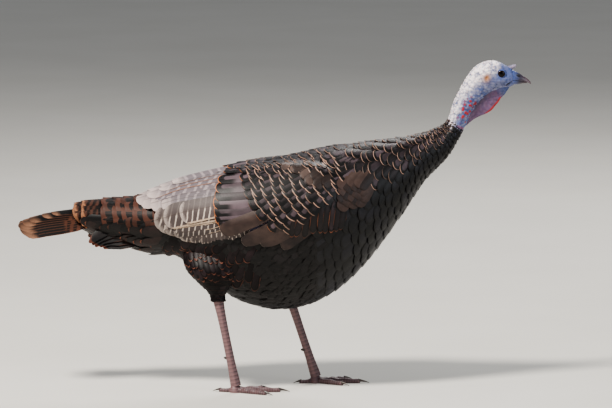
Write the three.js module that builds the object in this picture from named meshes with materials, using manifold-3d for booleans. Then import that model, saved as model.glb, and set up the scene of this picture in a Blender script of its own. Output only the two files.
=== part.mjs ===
// A wild turkey, first-year male, life size, walking with its neck stretched forward.
// Millimetres. +X is towards the bill, +Y is the bird's left, +Z is up, and the soles stand on z = 0.
// Every solid reaches the tips of the plumage. The trunk, neck and head are one loft, parted by thin cuts.
import * as THREE from "three";
import { LoftGeometry } from "three/addons/geometries/LoftGeometry.js";
import { mergeVertices } from "three/addons/utils/BufferGeometryUtils.js";
import Module from "manifold-3d";

const wasm = await Module();
wasm.setup();

// ---------------------------------------------------------------- driving dimensions
const GAP = 0.35; // air between neighbouring pieces
const FINEST = 0.08; // detail below this is dropped from a cut piece
const RING = 24; // points round a trunk section
const STEPS_PER_STATION = 2; // rings between two stations of the body
const BODY_SQUARENESS = 0.94; // 1 is an ellipse, less is fuller at the corners
const WING_DEPTH = 13; // plumage of a folded wing, above the trunk
const TAIL_END = -475; // x of the longest tail feathers
const EYE = { x: 421, z: 587, y: 11.2, radius: 8.2 };
const LEG_SPREAD = 60; // from the midline to each foot
const SHANK_RADIUS = 7.4;
const TOE_RADIUS = 5.6;
const SOLE_HEIGHT = 12; // height of the middle of the foot's pad

// The body's stations from the tail coverts to the root of the bill: a point on the back, the point
// below it on the belly or throat, the half width, and how much wider the upper half is.
const BODY = [
  { at: "covert tips", back: [-372, 346], belly: [-364, 322], half: 30, top: 0 },
  { at: "covert middle", back: [-329, 353], belly: [-326, 283], half: 44, top: 0 },
  { at: "covert roots", back: [-279, 357], belly: [-276, 270], half: 54, top: 0 },
  { at: "rump end", back: [-228, 363], belly: [-228, 252], half: 64, top: 0.02 },
  { at: "rump", back: [-172, 381], belly: [-176, 246], half: 80, top: 0.05 },
  { at: "hip", back: [-113, 398], belly: [-126, 214], half: 96, top: 0.08 },
  { at: "loin", back: [-52, 415], belly: [-70, 168], half: 106, top: 0.1 },
  { at: "belly", back: [22, 432], belly: [13, 147], half: 110, top: 0.1 },
  { at: "ribs", back: [96, 449], belly: [96, 169], half: 106, top: 0.08 },
  { at: "breast", back: [165, 459], belly: [165, 225], half: 90, top: 0.05 },
  { at: "crop", back: [226, 467], belly: [235, 317], half: 62, top: 0 },
  { at: "neck base", back: [272, 475], belly: [281, 386], half: 40, top: 0 },
  { at: "low neck", back: [303, 486], belly: [322, 429], half: 26, top: 0 },
  { at: "feather line", back: [322, 500], belly: [348, 473], half: 18.5, top: 0 },
  { at: "bare neck", back: [333, 531], belly: [367, 514], half: 17, top: 0 },
  { at: "upper neck", back: [346, 557], belly: [383, 536], half: 17.5, top: 0 },
  { at: "nape", back: [359, 580], belly: [400, 550], half: 18.5, top: 0.02 },
  { at: "occiput", back: [374, 599], belly: [413, 556], half: 19.5, top: 0.05 },
  { at: "crown", back: [396, 609], belly: [426, 560], half: 19.5, top: 0.1 },
  { at: "eye", back: [415, 607.5], belly: [436, 561], half: 16.5, top: 0.12 },
  { at: "brow", back: [430, 600.5], belly: [441, 563], half: 12.5, top: 0.1 },
  { at: "bill root", back: [441, 594], belly: [445, 565], half: 9.2, top: 0 },
];
const station = (name) => BODY.findIndex((s) => s.at === name);

// ---------------------------------------------------------------- materials
const material = (color, roughness) => new THREE.MeshStandardMaterial({ color, roughness, metalness: 0 });
const LOOK = {
  plumage: material(0x2b211f, 0.5),
  wing: material(0x5a4b4a, 0.5),
  coverts: material(0x5f3324, 0.6),
  tail: material(0x40261c, 0.55),
  bareSkin: material(0xb9c6d8, 0.55),
  wattle: material(0xb4485a, 0.5),
  horn: material(0x4b3d40, 0.4),
  eye: material(0x120c0a, 0.1),
  scales: material(0x84626b, 0.5),
  claw: material(0x3a302e, 0.4),
};

// ---------------------------------------------------------------- solids
// A closed geometry as a manifold solid.
function solid(geometry) {
  const bare = new THREE.BufferGeometry();
  bare.setAttribute("position", geometry.getAttribute("position"));
  bare.setIndex(geometry.index);
  const merged = mergeVertices(bare, 1e-3);
  const triVerts = new Uint32Array(merged.index.array);
  return new wasm.Manifold(
    new wasm.Mesh({ numProp: 3, vertProperties: merged.attributes.position.array, triVerts }),
  );
}

// The largest body of a solid, as a named mesh.
function node(name, shape, look) {
  const bodies = shape
    .simplify(FINEST)
    .decompose()
    .sort((a, b) => b.volume() - a.volume());
  const { numProp, vertProperties, triVerts } = bodies[0].getMesh();
  const places = new Float32Array((vertProperties.length / numProp) * 3);
  for (let i = 0; i < places.length / 3; i++) {
    places.set(vertProperties.subarray(i * numProp, i * numProp + 3), i * 3);
  }
  const geometry = new THREE.BufferGeometry();
  geometry.setAttribute("position", new THREE.BufferAttribute(places, 3));
  geometry.setIndex(new THREE.BufferAttribute(triVerts, 1));
  geometry.computeVertexNormals();
  const mesh = new THREE.Mesh(geometry, LOOK[look]);
  mesh.name = name;
  return mesh;
}

const middleOf = (ring) => ring.reduce((sum, p) => sum.add(p), new THREE.Vector3()).divideScalar(ring.length);

// A closed skin over rings of points. A ring has to turn anticlockwise seen from the loft's far end.
function loft(rings) {
  const [first, second] = [middleOf(rings[0]), middleOf(rings[1])];
  const turn = new THREE.Vector3();
  rings[0].forEach((p, k) => {
    const next = rings[0][(k + 1) % rings[0].length];
    turn.add(p.clone().sub(first).cross(next.clone().sub(first)));
  });
  const wanted = turn.dot(second.sub(first)) > 0 ? rings : rings.map((r) => r.toReversed());
  return solid(new LoftGeometry(wanted, { capStart: true, capEnd: true }));
}

const mix = (a, b, share) => a + (b - a) * share;
const smooth = (t) => t * t * (3 - 2 * t);

// A list's value at t, which counts entries: a Catmull-Rom curve through them.
function along(values, t) {
  const i = Math.min(Math.max(Math.floor(t), 0), values.length - 2);
  const at = (k) => values[Math.min(Math.max(k, 0), values.length - 1)];
  const [p0, p1, p2, p3] = [at(i - 1), at(i), at(i + 1), at(i + 2)];
  const f = t - i;
  const slope = (p2 - p0) / 2;
  const bend = p0 - 2.5 * p1 + 2 * p2 - 0.5 * p3;
  const twist = (p3 - p0) / 2 + 1.5 * (p1 - p2);
  return p1 + f * (slope + f * (bend + f * twist));
}

// A value at s, from 0 to 1, along a short list of evenly spaced sizes.
const sized = (values, s) => along(values, s * (values.length - 1));

// An ellipse round a centre, from two half axes.
function ring(centre, up, side, count) {
  return Array.from({ length: count }, (_, k) => {
    const angle = (2 * Math.PI * k) / count;
    return centre.clone().addScaledVector(up, Math.cos(angle)).addScaledVector(side, Math.sin(angle));
  });
}

// The same with every point at or above the floor.
function ringOnFloor(centre, up, side, count) {
  const points = ring(centre, up, side, count);
  points.forEach((p) => {
    p.z = Math.max(p.z, 0);
  });
  return points;
}

// ---------------------------------------------------------------- trunk, neck and head
const track = (read) => BODY.map(read);
const BACK_X = track((s) => s.back[0]);
const BACK_Z = track((s) => s.back[1]);
const BELLY_X = track((s) => s.belly[0]);
const BELLY_Z = track((s) => s.belly[1]);
const HALF = track((s) => s.half);
const TOP = track((s) => s.top);

// The body's frame at t: the middle of the section, its upward half axis, half width and top share.
function bodyFrame(t) {
  const back = new THREE.Vector3(along(BACK_X, t), 0, along(BACK_Z, t));
  const belly = new THREE.Vector3(along(BELLY_X, t), 0, along(BELLY_Z, t));
  const centre = back.clone().add(belly).multiplyScalar(0.5);
  return { centre, up: back.sub(belly).multiplyScalar(0.5), half: along(HALF, t), top: along(TOP, t) };
}

// A point of the body's surface, raised by a height, at an angle from the back. Positive is left.
function bodyPoint(t, angle, height) {
  const { centre, up, half, top } = bodyFrame(t);
  const c = Math.sign(Math.cos(angle)) * Math.abs(Math.cos(angle)) ** BODY_SQUARENESS;
  const s = Math.sign(Math.sin(angle)) * Math.abs(Math.sin(angle)) ** BODY_SQUARENESS;
  const tall = up.length();
  const point = centre.clone().addScaledVector(up, (c * (tall + height)) / tall);
  point.y = s * (half + height) * (1 + top * c);
  return point;
}

function bodyRing(t, height) {
  return Array.from({ length: RING }, (_, k) => bodyPoint(t, (2 * Math.PI * k) / RING, height));
}

// A length of the body between two stations, with half a gap left at each cut.
function bodyLength(from, to, height = 0, trim = GAP / 2) {
  const t0 = station(from);
  const t1 = station(to);
  const steps = (t1 - t0) * STEPS_PER_STATION;
  const run = (t, d) => bodyFrame(t + d).centre.distanceTo(bodyFrame(t).centre) / Math.abs(d);
  const start = t0 + trim / run(t0, 0.1);
  const end = t1 - trim / run(t1, -0.1);
  const rings = Array.from({ length: steps + 1 }, (_, k) => bodyRing(mix(start, end, k / steps), height));
  return loft(rings);
}

const wholeBody = bodyLength("covert tips", "bill root", GAP, 0);

// ---------------------------------------------------------------- eyes
function eyeBall(side, extra) {
  const ball = new THREE.SphereGeometry(EYE.radius + extra, 12, 8);
  return solid(ball.translate(EYE.x, side * EYE.y, EYE.z));
}

// ---------------------------------------------------------------- bill
// A mandible as a run of half ovals: each entry gives x, the outer edge, the mouth's edge and the half width.
function mandible(sections, room = 0) {
  const rings = sections.map(([x, outer, mouth, half]) => {
    const away = Math.sign(outer - mouth) * room;
    return Array.from({ length: 9 }, (_, k) => {
      const angle = (Math.PI * k) / 8;
      const z = mix(mouth - away, outer + away, Math.sin(angle) ** 0.8);
      return new THREE.Vector3(x, (half + room) * Math.cos(angle), z);
    });
  });
  return loft(rings);
}
const UPPER_BILL = [
  [440, 594, 574, 9.4],
  [447, 590.5, 574, 8.6],
  [455, 585.5, 573, 7.2],
  [463, 580.5, 571.8, 5.6],
  [470, 575.6, 569.6, 3.6],
  [474.5, 571.4, 567.4, 1.8],
  [476, 568.8, 566.6, 0.8],
];
const LOWER_BILL = [
  [440, 563, 573.5, 8.8],
  [447, 564.4, 573.5, 7.6],
  [455, 566, 572.5, 5.9],
  [463, 567, 571.3, 4],
  [469, 567.2, 569.3, 2],
];

// ---------------------------------------------------------------- snood and wattle
function snood() {
  const root = new THREE.Vector3(433, 0, 594);
  const tip = new THREE.Vector3(450, 0, 602);
  const axis = tip.clone().sub(root);
  const up = new THREE.Vector3(-axis.z, 0, axis.x).normalize();
  const rings = [0, 0.25, 0.5, 0.75, 0.92, 1].map((s) => {
    const radius = sized([4.6, 4.4, 4, 3.6, 1.4], s);
    const side = new THREE.Vector3(0, radius, 0);
    return ring(root.clone().addScaledVector(axis, s), up.clone().multiplyScalar(radius), side, 8);
  });
  return loft(rings);
}

// The fold of bare skin below the throat, from the feather line to the chin: its depth at even steps.
const WATTLE_FROM = station("feather line") + 0.4;
const WATTLE_TO = station("eye") + 0.4;
const WATTLE_DEPTH = [2, 26, 27, 20, 14.5, 6, -2];
const WATTLE_HALF = [1, 0.88, 0.66, 0.5, 0.4, 0.26]; // half thickness down the fold, as a share of its root's
const WATTLE_ROOT = 8.5;
function wattle() {
  const rings = [];
  const steps = 10;
  for (let k = 0; k <= steps; k++) {
    const s = k / steps;
    const { centre, up } = bodyFrame(mix(WATTLE_FROM, WATTLE_TO, s));
    const down = up.clone().negate().normalize();
    const root = centre.addScaledVector(up, -0.6);
    const depth = up.length() * 0.4 + sized(WATTLE_DEPTH, s);
    const flank = (side, shares) =>
      shares.map((share) => {
        const thick = side * WATTLE_ROOT * sized(WATTLE_HALF, share);
        return root.clone().addScaledVector(down, depth * share).setY(thick);
      });
    rings.push([...flank(1, [0, 0.4, 0.75, 1]), ...flank(-1, [1, 0.75, 0.4, 0])]);
  }
  return loft(rings);
}

// ---------------------------------------------------------------- folded wings
// A wing covers the body from wrist to tip, between two angles from the back, in degrees.
const WING_TIP = station("covert roots") + 0.55;
const WING_WRIST = station("ribs") + 0.62;
const WING_UPPER_EDGE = [10, 6, 7, 8, 9, 11, 16, 24, 36, 56];
const WING_LOWER_EDGE = [27, 84, 112, 107, 99, 94, 92, 90, 87, 78];
const WING_RISE = [0.3, 0.7, 0.95, 1.05, 1.05, 1.05, 1, 0.95, 0.8, 0.3];
function wing(side, room = 0) {
  const rings = [];
  const across = 7;
  const steps = 15;
  for (let k = 0; k <= steps; k++) {
    const s = k / steps;
    const t = mix(WING_TIP, WING_WRIST, s);
    const a0 = THREE.MathUtils.degToRad(sized(WING_UPPER_EDGE, s));
    const a1 = THREE.MathUtils.degToRad(sized(WING_LOWER_EDGE, s));
    const rise = WING_DEPTH * sized(WING_RISE, s) + room;
    const outer = Array.from({ length: across }, (_, j) => {
      const share = j / (across - 1);
      const bulge = Math.sqrt(1 - (2 * share - 1) ** 4);
      return bodyPoint(t, side * mix(a0, a1, share), 1.2 + room + rise * bulge);
    });
    const inner = Array.from({ length: across }, (_, j) =>
      bodyPoint(t, side * mix(a1, a0, j / (across - 1)), -5),
    );
    rings.push([...outer, ...inner]);
  }
  return loft(rings);
}

// ---------------------------------------------------------------- tail
// The folded fan: an arched sheet, from under the coverts to the tips.
const TAIL_ROOT = -300;
const TAIL_RIDGE = [338, 336, 331, 324, 313];
const TAIL_DROP = [20, 34, 37, 32, 25];
const TAIL_HALF = [26, 38, 46, 48, 40];
const TAIL_THICK = [12, 10, 8, 6, 3];
const TAIL_ROUND = 16; // how far the outer tips fall short of the middle ones
function tail() {
  const rings = [];
  for (let k = 0; k <= 10; k++) {
    const s = k / 10;
    const half = sized(TAIL_HALF, s);
    const edge = (u, lift) =>
      new THREE.Vector3(
        mix(TAIL_ROOT, TAIL_END, s) + TAIL_ROUND * u * u * smooth(s),
        half * u,
        sized(TAIL_RIDGE, s) - sized(TAIL_DROP, s) * u * u - lift,
      );
    const steps = [-1, -0.78, -0.52, -0.26, 0, 0.26, 0.52, 0.78, 1];
    const upper = steps.map((u) => edge(u, 0));
    const lower = steps.toReversed().map((u) => edge(u * 0.97, sized(TAIL_THICK, s)));
    rings.push([...upper, ...lower]);
  }
  return loft(rings);
}

// ---------------------------------------------------------------- legs
// Each leg: its side, the middle of the thigh at the hip, the ankle and the foot.
const LEGS = {
  right: {
    side: -1,
    hip: new THREE.Vector3(-112, -66, 268),
    ankle: new THREE.Vector3(-102, -LEG_SPREAD, 180),
    foot: new THREE.Vector3(-68, -LEG_SPREAD, SOLE_HEIGHT),
  },
  left: {
    side: 1,
    hip: new THREE.Vector3(-40, 76, 262),
    ankle: new THREE.Vector3(26, LEG_SPREAD, 176),
    foot: new THREE.Vector3(80, LEG_SPREAD, SOLE_HEIGHT),
  },
};
const THIGH_FORE = [64, 60, 50, 31, 14]; // half lengths fore and aft, from hip to ankle
const THIGH_SIDE = [34, 34, 32, 23, 12.5];
const SHANK_WIDTHS = [1.25, 1.02, 0.95, 0.95, 1, 1.25]; // from ankle to foot, as shares of its radius

function thigh({ hip, ankle }, room = 0) {
  const rings = [];
  for (let k = 0; k <= 9; k++) {
    const s = k / 9;
    const fore = new THREE.Vector3(sized(THIGH_FORE, s) + room, 0, 0);
    const out = new THREE.Vector3(0, sized(THIGH_SIDE, s) + room, 0);
    rings.push(ring(hip.clone().lerp(ankle, s * (1 + room / 90)), fore, out, 16));
  }
  return loft(rings);
}

function shank({ ankle, foot }, room = 0) {
  const axis = foot.clone().sub(ankle);
  const fore = new THREE.Vector3(-axis.z, 0, axis.x).normalize();
  const rings = [];
  for (let k = 0; k <= 6; k++) {
    const s = k / 6;
    const radius = SHANK_RADIUS * sized(SHANK_WIDTHS, s) + room;
    const middle = ankle.clone().addScaledVector(axis, s);
    rings.push(ring(middle, fore.clone().multiplyScalar(radius * 1.12), new THREE.Vector3(0, radius, 0), 10));
  }
  return loft(rings);
}

// A spur is a low blunt cone on the back of the shank, a third of the way up.
function spur({ side, ankle, foot }) {
  const root = foot.clone().lerp(ankle, 0.3);
  const away = new THREE.Vector3(-1, -side * 0.35, 0.15).normalize();
  const up = new THREE.Vector3(0, 0, 1).addScaledVector(away, -away.z).normalize();
  const across = away.clone().cross(up);
  const rings = [0, 0.5, 0.85, 1].map((s) => {
    const radius = sized([4.4, 3.4, 1.6], s);
    const middle = root.clone().addScaledVector(away, 3 + 10.5 * s);
    return ring(middle, up.clone().multiplyScalar(radius), across.clone().multiplyScalar(radius), 8);
  });
  return loft(rings);
}

// The pad under the foot: a squat ball with its base cut flat where it stands.
const PAD_RADIUS = 12.5;
function pad({ foot }, room = 0) {
  const rings = [0, 0.1, 0.35, 0.65, 0.85, 0.97].map((s) => {
    const wide = PAD_RADIUS * Math.sqrt(1 - (s - 0.35) ** 2 * 2.2) + room;
    const middle = foot.clone().setZ(s * (PAD_RADIUS * 1.45 + room));
    return ring(middle, new THREE.Vector3(wide * 1.1, 0, 0), new THREE.Vector3(0, wide, 0), 10);
  });
  return loft(rings);
}

// Toes: direction in degrees from straight ahead towards the outer side, length, pads, claw and thickness.
const TOES = {
  inner: { turn: -36, length: 55, joints: 2, claw: 15, thick: 0.95 },
  middle: { turn: -3, length: 76, joints: 3, claw: 17, thick: 1.05 },
  outer: { turn: 32, length: 60, joints: 3, claw: 14, thick: 0.9 },
  hind: { turn: 196, length: 27, joints: 1, claw: 12, thick: 0.8 },
};
const TOE_START = 6; // from the middle of the foot

function toeFrame({ side, foot }, { turn }) {
  const angle = THREE.MathUtils.degToRad(turn) * side;
  const ahead = new THREE.Vector3(Math.cos(angle), Math.sin(angle), 0);
  const across = new THREE.Vector3(-ahead.y, ahead.x, 0);
  return { start: foot.clone().setZ(0).addScaledVector(ahead, TOE_START), ahead, across };
}

// A toe with a swelling at each joint. Its underside is flat on the floor.
function toe(leg, shape, room = 0) {
  const { start, ahead, across } = toeFrame(leg, shape);
  const steps = 3 * shape.joints + 2;
  const rings = [];
  for (let k = 0; k <= steps; k++) {
    const s = k / steps;
    const swell = 1 + 0.09 * Math.cos(2 * Math.PI * s * shape.joints);
    const end = k === steps ? 0.55 : 1;
    const radius = TOE_RADIUS * shape.thick * mix(1.15, 0.82, s) * swell * end + room;
    const middle = start.clone().addScaledVector(ahead, (shape.length + room) * s);
    middle.z = radius * 0.65;
    rings.push(ringOnFloor(middle, new THREE.Vector3(0, 0, radius), across.clone().multiplyScalar(radius), 8));
  }
  return loft(rings);
}

// A claw: a tapering horn that arches forward and comes down to the floor.
const CLAW_RADIUS = 3.4;
const CLAW_HEIGHT = 5.2;
function claw(leg, shape) {
  const { start, ahead, across } = toeFrame(leg, shape);
  const rings = [];
  for (let k = 0; k <= 4; k++) {
    const s = k / 4;
    const radius = mix(CLAW_RADIUS, 0.45, s ** 0.8) * shape.thick;
    const middle = start.clone().addScaledVector(ahead, shape.length - 3 + (shape.claw + 3) * s);
    middle.z = mix(CLAW_HEIGHT, 0.9, s ** 1.7);
    const side = across.clone().multiplyScalar(radius * 0.8);
    rings.push(ringOnFloor(middle, new THREE.Vector3(0, 0, radius), side, 6));
  }
  return loft(rings);
}

// ---------------------------------------------------------------- assembly
const turkey = new THREE.Group();
const add = (name, shape, look) => turkey.add(node(name, shape, look));

const SIDES = { right: -1, left: 1 };
const upperBill = mandible(UPPER_BILL);
const lowerBill = mandible(LOWER_BILL);

add("tail_coverts", bodyLength("covert tips", "rump end"), "coverts");
add("trunk", bodyLength("rump end", "neck base"), "plumage");
add("neck_feathered", bodyLength("neck base", "feather line"), "plumage");
add("neck_bare", bodyLength("feather line", "nape"), "bareSkin");
const sockets = Object.values(SIDES).map((side) => eyeBall(side, GAP));
add("head", sockets.reduce((rest, ball) => rest.subtract(ball), bodyLength("nape", "bill root")), "bareSkin");
Object.entries(SIDES).forEach(([name, side]) => add("eye_" + name, eyeBall(side, 0), "eye"));
add("bill_upper", upperBill.subtract(wholeBody), "horn");
add("bill_lower", lowerBill.subtract(wholeBody), "horn");
add("snood", snood().subtract(wholeBody).subtract(mandible(UPPER_BILL, GAP)), "wattle");
add("wattle", wattle().subtract(wholeBody), "wattle");
add("tail", tail().subtract(wholeBody), "tail");

for (const [name, leg] of Object.entries(LEGS)) {
  add("wing_" + name, wing(leg.side).subtract(wholeBody), "wing");
  add("thigh_" + name, thigh(leg).subtract(wholeBody).subtract(wing(leg.side, GAP)), "plumage");
  add("shank_" + name, shank(leg).subtract(wholeBody).subtract(thigh(leg, GAP)).subtract(pad(leg, GAP)), "scales");
  add("spur_" + name, spur(leg).subtract(shank(leg, GAP)), "claw");
  add("foot_" + name, pad(leg), "scales");
  let taken = pad(leg, GAP);
  for (const [toeName, shape] of Object.entries(TOES)) {
    add("toe_" + toeName + "_" + name, toe(leg, shape).subtract(taken), "scales");
    add("claw_" + toeName + "_" + name, claw(leg, shape).subtract(toe(leg, shape, GAP)), "claw");
    taken = taken.add(toe(leg, shape, GAP));
  }
}

// The frame's origin is on the floor, in the middle of the whole bird.
const box = new THREE.Box3().setFromObject(turkey);
const middle = box.getCenter(new THREE.Vector3());
turkey.position.set(-middle.x, -middle.y, -box.min.z);

export default turkey;
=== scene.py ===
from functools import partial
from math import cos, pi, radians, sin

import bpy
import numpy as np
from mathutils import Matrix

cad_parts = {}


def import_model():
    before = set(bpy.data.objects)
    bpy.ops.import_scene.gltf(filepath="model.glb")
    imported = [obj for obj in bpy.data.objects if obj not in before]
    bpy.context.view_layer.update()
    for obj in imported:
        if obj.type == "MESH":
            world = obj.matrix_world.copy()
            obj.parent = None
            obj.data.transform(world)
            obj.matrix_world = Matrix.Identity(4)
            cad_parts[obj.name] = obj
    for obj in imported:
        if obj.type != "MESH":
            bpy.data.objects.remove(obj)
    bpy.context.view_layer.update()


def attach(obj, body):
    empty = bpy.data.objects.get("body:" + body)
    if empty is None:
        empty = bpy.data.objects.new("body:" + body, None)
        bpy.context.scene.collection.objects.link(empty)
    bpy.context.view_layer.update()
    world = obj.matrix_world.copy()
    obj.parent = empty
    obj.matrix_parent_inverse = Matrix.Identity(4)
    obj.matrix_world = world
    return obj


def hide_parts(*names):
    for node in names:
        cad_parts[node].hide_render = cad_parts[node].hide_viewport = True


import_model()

# %% [markdown]
# # A wild turkey in mid stride
# The bird is a first-year male, life size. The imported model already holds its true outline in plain
# solids. Here those solids are covered: one skin takes the place of the flesh, and feathers are laid
# over it in rows, the way they grow. We work in millimetres and turn them into metres at the last
# moment, because feathers are easier to think about in millimetres.

MM = 0.001
MIDDLE_X = 0.5  # the bird's own x of the frame's origin
RIGHT, LEFT = -1, 1
rng = np.random.default_rng(61)

# %% [markdown]
# ## The camera
# A long lens from twelve metres away, seven degrees above the level, looks straight at the bird's
# right side. A short lens close by would swell the near wing, and that isn't how such a shy bird is
# ever seen. The aim is the middle of the view.

# %% Camera
CAMERA_AWAY = 12.0
CAMERA_UP = radians(7)
VIEW_WIDTH = 1.132
AIM = (0.0605, 0.0, 0.343)
SENSOR = 36.0
camera_data = bpy.data.cameras.new("camera")
camera_data.sensor_width = SENSOR
camera_data.lens = SENSOR * CAMERA_AWAY / VIEW_WIDTH
camera_data.clip_end = 100
camera = bpy.data.objects.new("camera", camera_data)
bpy.context.scene.collection.objects.link(camera)
camera.location = (AIM[0], -CAMERA_AWAY * cos(CAMERA_UP), AIM[2] + CAMERA_AWAY * sin(CAMERA_UP))
camera.rotation_euler = (pi / 2 - CAMERA_UP, 0, 0)
bpy.context.scene.camera = camera
print("lens", round(camera_data.lens, 1), "mm")

# %% [markdown]
# ## A body as one function
# Every point of the trunk, neck and head comes from three numbers: a station along the bird, an
# angle round it from the back, and a height above the plumage's outline. Stations are pairs of
# points, one on the back and one below it, with the half width between. A smooth curve through them
# gives everything in between. Feathers will use the same function, so they always follow the body.

# %% Stations of the body, from the tail's tip to the bill
STATIONS = [  # name, back x and z, belly x and z, half width, how much wider the upper half is
    ("tail tip", -476, 312, -474, 284, 42, 0.0),
    ("tail middle", -420, 325, -418, 286, 47, 0.0),
    ("covert tips", -372, 344, -366, 304, 42, 0.0),
    ("covert middle", -329, 353, -326, 283, 46, 0.0),
    ("covert roots", -279, 357, -276, 270, 54, 0.0),
    ("rump end", -228, 363, -228, 252, 64, 0.02),
    ("rump", -172, 381, -176, 246, 80, 0.05),
    ("hip", -113, 398, -126, 214, 96, 0.08),
    ("loin", -52, 415, -70, 168, 106, 0.1),
    ("belly", 22, 432, 13, 147, 110, 0.1),
    ("ribs", 96, 449, 96, 169, 106, 0.08),
    ("breast", 165, 459, 165, 225, 90, 0.05),
    ("crop", 226, 467, 235, 317, 62, 0.0),
    ("neck base", 272, 475, 281, 386, 40, 0.0),
    ("low neck", 303, 486, 322, 429, 26, 0.0),
    ("feather line", 322, 500, 348, 473, 18.5, 0.0),
    ("bare neck", 333, 531, 367, 514, 17, 0.0),
    ("upper neck", 346, 557, 383, 536, 17.5, 0.0),
    ("nape", 359, 580, 400, 550, 18.5, 0.02),
    ("occiput", 374, 599, 413, 556, 19.5, 0.05),
    ("crown", 396, 609, 426, 560, 19.5, 0.1),
    ("eye", 415, 607.5, 436, 561, 16.5, 0.12),
    ("brow", 430, 600.5, 441, 563, 12.5, 0.1),
    ("bill root", 441, 594, 445, 565, 9.2, 0.0),
]
AT = {row[0]: index for index, row in enumerate(STATIONS)}
SIZES = np.array([row[1:] for row in STATIONS], float)
SQUARE = 0.94


def curve(values, t):
    """A Catmull-Rom curve: a cubic through evenly spaced values that keeps its slope at each."""
    values = np.asarray(values, float)
    t = np.asarray(t, float)
    i = np.clip(np.floor(t).astype(int), 0, len(values) - 2)
    f = (t - i).reshape(t.shape + (1,) * (values.ndim - 1))
    p0, p1, p2, p3 = (values[np.clip(i + k, 0, len(values) - 1)] for k in (-1, 0, 1, 2))
    slope, bend = (p2 - p0) / 2, p0 - 2.5 * p1 + 2 * p2 - 0.5 * p3
    return p1 + f * (slope + f * (bend + f * ((p3 - p0) / 2 + 1.5 * (p1 - p2))))


def softly(x, low, high):
    """0 below low, 1 above high, and an S between: 3x^2 - 2x^3."""
    s = np.clip((x - low) / (high - low), 0, 1)
    return s * s * (3 - 2 * s)


def power(x, exponent):
    """x to a power, with its sign kept."""
    return np.sign(x) * np.abs(x) ** exponent


def body(t, angle, height):
    """centre + up * cos + side * sin, each half axis grown by the height. Angles are in degrees
    from the back, positive on the bird's left. The powers fill the ellipse's corners a little."""
    t, angle, height = np.broadcast_arrays(t, angle, height)
    row = curve(SIZES, t)
    back = np.stack([row[..., 0], np.zeros(t.shape), row[..., 1]], -1)
    belly = np.stack([row[..., 2], np.zeros(t.shape), row[..., 3]], -1)
    up = (back - belly) / 2
    tall = np.linalg.norm(up, axis=-1)
    c = power(np.cos(np.radians(angle)), SQUARE)
    s = power(np.sin(np.radians(angle)), SQUARE)
    point = (back + belly) / 2 + up * (c * (tall + height) / tall)[..., None]
    point[..., 1] = s * (row[..., 4] + height) * (1 + row[..., 5] * c)
    return point


print("back at the hip", body(AT["hip"], 0, 0).round(1))

# %% [markdown]
# ## The folded wing as a swelling
# A folded wing lies against the flank like a shield. Its flesh is small, so instead of a separate arm
# the body simply swells between two edges. The edges are angles round the body, listed from wing tip
# to wrist, and the swelling is a flat-topped dome between them.

# %% The wing's chart
WING_TIP, WING_WRIST = AT["covert roots"] + 0.55, AT["ribs"] + 0.62
WING_UPPER = [10, 6, 7, 8, 9, 11, 16, 24, 36, 56]
WING_LOWER = [27, 84, 112, 107, 99, 94, 92, 90, 87, 78]
WING_RISE = [0.3, 0.7, 0.95, 1.05, 1.05, 1.05, 1, 0.95, 0.8, 0.3]
WING_DEPTH = 13


def even(values, s):
    """A value at s, from 0 to 1, along a short list of evenly spaced ones."""
    return curve(values, np.clip(s, 0, 1) * (len(values) - 1))


def columns_at(rows, s):
    """The same for rows of several values: one array for each column."""
    return np.moveaxis(even(rows, s), -1, 0)


def swell(t, angle):
    """Height of the folded wing: its depth times a flat-topped hill that fades just past each edge."""
    s = (np.asarray(t, float) - WING_TIP) / (WING_WRIST - WING_TIP)
    upper, lower = even(WING_UPPER, s), even(WING_LOWER, s)
    across = 2 * (np.abs(angle) - upper) / (lower - upper) - 1
    dome = softly(1.2 - np.abs(across), 0, 0.6)
    ends = softly(s, -0.03, 0.08) * (1 - softly(s, 0.86, 1.06))
    return WING_DEPTH * even(WING_RISE, s) * dome * ends


print("wing stands", float(swell(AT["loin"], 60).round(1)), "mm out at the loin")

# %% [markdown]
# ## Making meshes
# Each shape is an array of points on a grid. These helpers turn a grid into faces and put the arrays
# into a mesh in one go, which is much faster than adding vertices one by one. Every surface is
# closed, with its faces outwards, because the meshes are also used as solids.

# %% Mesh helpers
MASKS = ("white", "blue", "red", "ear", "dark", "bead", "plate")


def tube_grid(stations, columns, turn=2 * pi):
    """The two parameters of a tube as grids: a station for each ring, and a share of one turn for
    each point round it. The last point stops short of the first."""
    return np.meshgrid(stations, np.arange(columns) * turn / columns, indexing="ij")


def tube_faces(rows, columns):
    """Quads between neighbouring rings of a tube, wound so that they face outwards."""
    i, j = np.meshgrid(np.arange(rows - 1), np.arange(columns), indexing="ij")
    a, b = i * columns + j, i * columns + (j + 1) % columns
    return np.stack([a, b, b + columns, a + columns], -1).reshape(-1, 4)


def to_mesh(name, points, faces):
    """A mesh from points in millimetres and faces given as lists of corners."""
    mesh = bpy.data.meshes.new(name)
    metres = (np.asarray(points, float).reshape(-1, 3) - (MIDDLE_X, 0, 0)) * MM
    mesh.from_pydata(metres.tolist(), [], faces)
    mesh.update()
    return mesh


def places_of(mesh):
    """The mesh's vertices as an array, back in the bird's own millimetres."""
    places = np.empty(len(mesh.vertices) * 3)
    mesh.vertices.foreach_get("co", places)
    return places.reshape(-1, 3) / MM + (MIDDLE_X, 0, 0)


def outward(mesh):
    """Turns a closed mesh the right way round: its signed volume has to be above zero."""
    mesh.calc_loop_triangles()
    corners = np.empty(len(mesh.loop_triangles) * 3, int)
    mesh.loop_triangles.foreach_get("vertices", corners)
    a, b, c = places_of(mesh)[corners.reshape(-1, 3)].transpose(1, 0, 2)
    if np.einsum("ij,ij->i", a, np.cross(b, c)).sum() < 0:
        mesh.flip_normals()
    return mesh


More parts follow.
